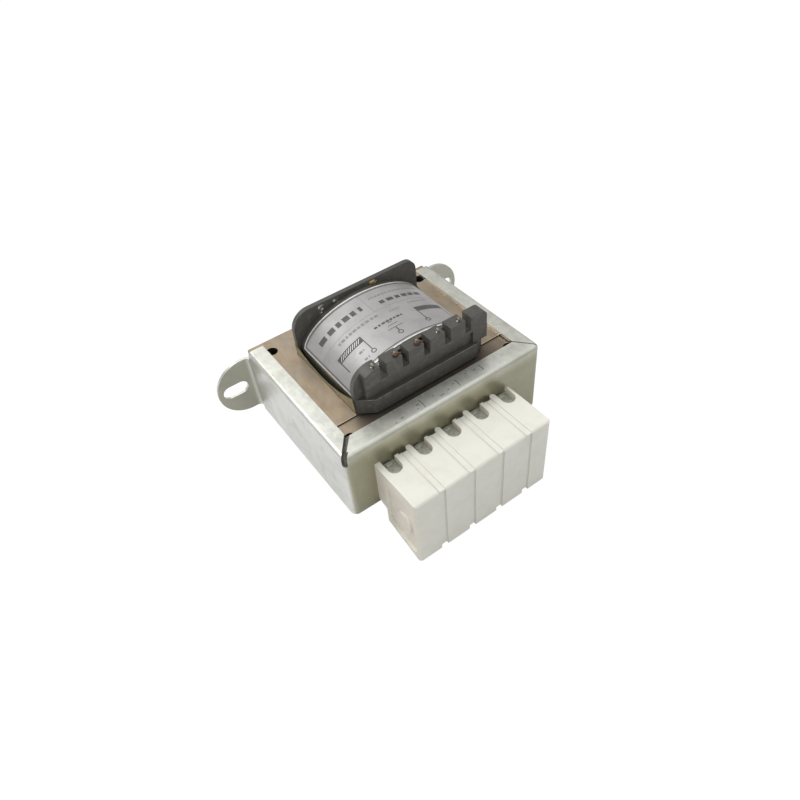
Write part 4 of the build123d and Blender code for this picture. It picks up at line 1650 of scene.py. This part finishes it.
@dataclass
class TerminalBlock:
    """Cream five-pole block with painted shade in its strip corners, tinned tabs with raised ends, and
    screws.
    """

    bench: Bench
    poles: int = 5
    body_edge_mm: float = 0.1
    tab_edge_mm: float = 0.12
    strip_mm: tuple = (4.8, 7.6)
    strip_sink_mm: float = 0.25
    strip_back: tuple = (0.02, 1.0)
    strip_foot_mm: float = 1.7
    strip_lift_mm: float = 0.02
    edge_r_mm: float = 1.3
    edge_points: int = 7
    front_points: int = 4
    wide_mm: float = 0.75
    fine_mm: float = 0.14
    crest_x_mm: float = 1.4
    crest_y_mm: tuple = (-2.2, -0.3)
    crest_z_mm: tuple = (0.3, 0.6)
    crest_r_mm: float = 0.4

    def build(self) -> None:
        """Builds the body, all terminals, the tabs' raised ends and the painted shade in the strips' corners.
        """
        bench = self.bench
        bench.softened("terminal_block_body", "block_moulding", Finish.NYLON, "terminal_nylon",
                       self.body_edge_mm)
        for n in range(1, self.poles + 1):
            bench.softened(f"terminal_{n}", f"terminal_strip_{n}", Finish.TINNED_TAB, "terminal_tin",
                           self.tab_edge_mm)
            bench.dress(f"terminal_screw_{n}", Finish.SCREW)
        bench.piece("tab_crests", self.crests(), Finish.TINNED_TAB, "terminal_tin")
        # Painted shade in the corners of the sunk strips.
        bench.piece("strip_corners", self.strip_corners(), Finish.NYLON_CORNER, "terminal_nylon")

    def middle(self, n: int) -> float:
        """Middle of a terminal across the block."""
        low, high = self.bench.datum.node_mm(f"terminal_{n}")
        return (low[0] + high[0]) / 2

    def strip_path(self) -> np.ndarray:
        """Line along the floor of a sunk strip: over the top, round the front edge and down the front.

        The round edge is a quarter circle, of which only the part below both sunk faces belongs to the floor.

        Returns:
            Points of the line, at zero across the block.
        """
        low, high = self.bench.datum.node_mm("terminal_block_body")
        front, top, r, lift = low[1], high[2], self.edge_r_mm, self.strip_lift_mm
        share, gap = self.strip_back
        turn = math.asin((r - self.strip_sink_mm) / r)
        angle = np.linspace(turn, math.pi / 2 - turn, self.edge_points)
        arc = np.stack([front + r - (r + lift) * np.cos(angle), top - r + (r + lift) * np.sin(angle)], -1)
        back = [[share * front - gap, top - self.strip_sink_mm + lift]]
        foot = [[front + self.strip_sink_mm - lift, low[2] + self.strip_foot_mm]]
        line = np.concatenate([back, arc, foot])
        return np.concatenate([np.zeros((len(line), 1)), line], 1)

    def strip_corners(self) -> Surface:
        """Painted shade in the corners of the sunk strips: wide on the left over the top and on the right
        down the front.

        Returns:
            Narrow strips just above the floor of the sunk strips.
        """
        whole = self.strip_path()
        on_top = (np.arange(len(whole)) < len(whole) - self.front_points)[:, None]
        left, right = self.strip_mm
        parts = []
        for n in range(1, self.poles):
            for edge, side, top_width, front_width in ((left, 1, self.wide_mm, self.fine_mm),
                                                       (right, -1, self.fine_mm, self.wide_mm)):
                inner = whole + np.array([self.middle(n) + edge, 0.0, 0.0])
                outer = inner + np.array([side, 0.0, 0.0]) * np.where(on_top, top_width, front_width)
                pair = (inner, outer) if side > 0 else (outer, inner)
                parts.append(Surface(np.stack(pair, 1).reshape(-1, 3), grid_quads(len(whole), 2)))
        return joined(parts)

    def crests(self) -> Surface:
        """Raised end of each tab: a round-edged lug across the tab, next to the frame.

        Returns:
            All lugs in one surface.
        """
        half, (front, back), (sink, rise) = self.crest_x_mm, self.crest_y_mm, self.crest_z_mm
        lugs = []
        for n in range(1, self.poles + 1):
            x, top = self.middle(n), self.bench.datum.node_mm(f"terminal_{n}")[1][2]
            lugs.append(pillow((x - half, front, top - sink), (x + half, back, top + rise), self.crest_r_mm))
        return joined(lugs)


@dataclass(frozen=True)
class Lamp:
    """Soft square lamp aimed at the object."""

    name: str
    place: tuple
    size: float
    power: float

    def hang(self, target: Vector) -> None:
        """Puts the lamp in the scene, turned to a point.

        Args:
            target: Point that the lamp faces, in metres.
        """
        data = bpy.data.lights.new(self.name, "AREA")
        data.shape = "SQUARE"
        data.size = self.size
        data.energy = self.power
        lamp = bpy.data.objects.new(self.name, data)
        lamp.location = Vector(self.place)
        lamp.rotation_euler = (target - lamp.location).to_track_quat("-Z", "Y").to_euler()
        bpy.context.scene.collection.objects.link(lamp)


@dataclass
class Studio:
    """Pale floor, soft lamps and the camera at the photograph's angle."""

    datum: Datum
    azimuth_deg: float = -31.14
    elevation_deg: float = 45.48
    roll_deg: float = -6.38
    distance_mm: float = 274.0
    target_mm: tuple = (2.4, 36.0, 1.5)
    focal_px: float = 670.9
    near_m: float = 0.01
    sky_low: float = 0.38
    sky_high: float = 0.85
    floor_white: float = 0.75
    floor_rough: float = 0.9
    floor_glow: float = 1.06
    floor_share: float = 0.94
    floor_size: float = 4.0
    lamp_target: tuple = (0.0, 0.0, 0.03)
    lamps: tuple = (
        Lamp("key_back_left", (-0.28, 0.34, 0.80), 0.45, 3.6),
        Lamp("glint_back", (0.14, 0.80, 0.68), 0.3, 0.42),
    )

    def build(self) -> None:
        """Builds the whole setting."""
        bpy.context.scene.view_settings.view_transform = "Standard"
        self.backdrop()
        self.air()
        for lamp in self.lamps:
            lamp.hang(Vector(self.lamp_target))
        self.camera()

    def backdrop(self) -> None:
        """Floor under the object, white to the camera and pale to everything else."""
        half = self.floor_size / 2
        corners = [(-half, -half, 0), (half, -half, 0), (half, half, 0), (-half, half, 0)]
        mesh = bpy.data.meshes.new("floor")
        mesh.from_pydata(corners, [], [(0, 1, 2, 3)])
        floor = bpy.data.objects.new("floor", mesh)
        bpy.context.scene.collection.objects.link(floor)
        r = Recipe("pale_floor")
        white = (self.floor_white, self.floor_white, self.floor_white, 1.0)
        r.finish(base_color=white, roughness=self.floor_rough)
        glow = r.node("ShaderNodeEmission")
        glow.inputs["Strength"].default_value = self.floor_glow
        blend = r.node("ShaderNodeMixShader")
        seen = r.node("ShaderNodeLightPath").outputs["Is Camera Ray"]
        r.feed(blend.inputs[0], r.math("MULTIPLY", seen, self.floor_share))
        r.feed(blend.inputs[1], r.shader.outputs[0])
        r.feed(blend.inputs[2], glow.outputs[0])
        r.feed(r.tree.nodes["Material Output"].inputs["Surface"], blend.outputs[0])
        mesh.materials.append(r.material)

    def air(self) -> None:
        """Soft sky light, brighter overhead than at the horizon, and white to the camera."""
        world = bpy.data.worlds.new("studio_air")
        bpy.context.scene.world = world
        world.use_nodes = True
        tree = world.node_tree
        back = tree.nodes["Background"]
        split = tree.nodes.new("ShaderNodeSeparateXYZ")
        tree.links.new(tree.nodes.new("ShaderNodeTexCoord").outputs["Generated"], split.inputs[0])
        height = tree.nodes.new("ShaderNodeMapRange")
        tree.links.new(split.outputs["Z"], height.inputs["Value"])
        height.inputs["To Min"].default_value = self.sky_low
        height.inputs["To Max"].default_value = self.sky_high
        seen = tree.nodes.new("ShaderNodeLightPath").outputs["Is Camera Ray"]
        level = tree.nodes.new("ShaderNodeMapRange")
        tree.links.new(seen, level.inputs["Value"])
        tree.links.new(height.outputs["Result"], level.inputs["To Min"])
        level.inputs["To Max"].default_value = 1.0
        back.inputs["Color"].default_value = (1.0, 1.0, 1.0, 1.0)
        tree.links.new(level.outputs["Result"], back.inputs["Strength"])

    def camera(self) -> None:
        """Camera that looks as the photograph does, from its azimuth, elevation and roll."""
        a, e, roll = (math.radians(v) for v in (self.azimuth_deg, self.elevation_deg, self.roll_deg))
        forward = -np.array([math.sin(a) * math.cos(e), -math.cos(a) * math.cos(e), math.sin(e)])
        right = np.cross(forward, [0, 0, 1])
        right /= np.linalg.norm(right)
        up = np.cross(right, forward)
        rolled_right = math.cos(roll) * right + math.sin(roll) * up
        rolled_up = -math.sin(roll) * right + math.cos(roll) * up
        target = self.datum.row(np.array(self.target_mm))
        data = bpy.data.cameras.new("photo_camera")
        data.sensor_width = SENSOR_MM
        data.lens = self.focal_px / IMAGE_PIXELS * SENSOR_MM
        data.clip_start = self.near_m
        view = bpy.data.objects.new("photo_camera", data)
        turn = Matrix(np.stack([rolled_right, rolled_up, -forward], 1).tolist())
        view.matrix_world = Matrix.Translation(target - forward * self.distance_mm * MM) @ turn.to_4x4()
        bpy.context.scene.collection.objects.link(view)
        bpy.context.scene.camera = view


def main() -> None:
    """Loads the solids, dresses them and sets the scene."""
    logging.basicConfig(level=logging.INFO, format="%(name)s %(message)s")
    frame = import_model()
    datum = Datum.of_frame()
    bench = Bench(frame["nodes"], datum, Palette())
    for assembly in (ClampFrame(bench), LaminatedCore(bench), WoundBobbin(bench), TerminalBlock(bench)):
        assembly.build()
    Studio(datum).build()
    LOG.info("%d pieces made", len(bench.made))


if __name__ == "__main__":
    main()
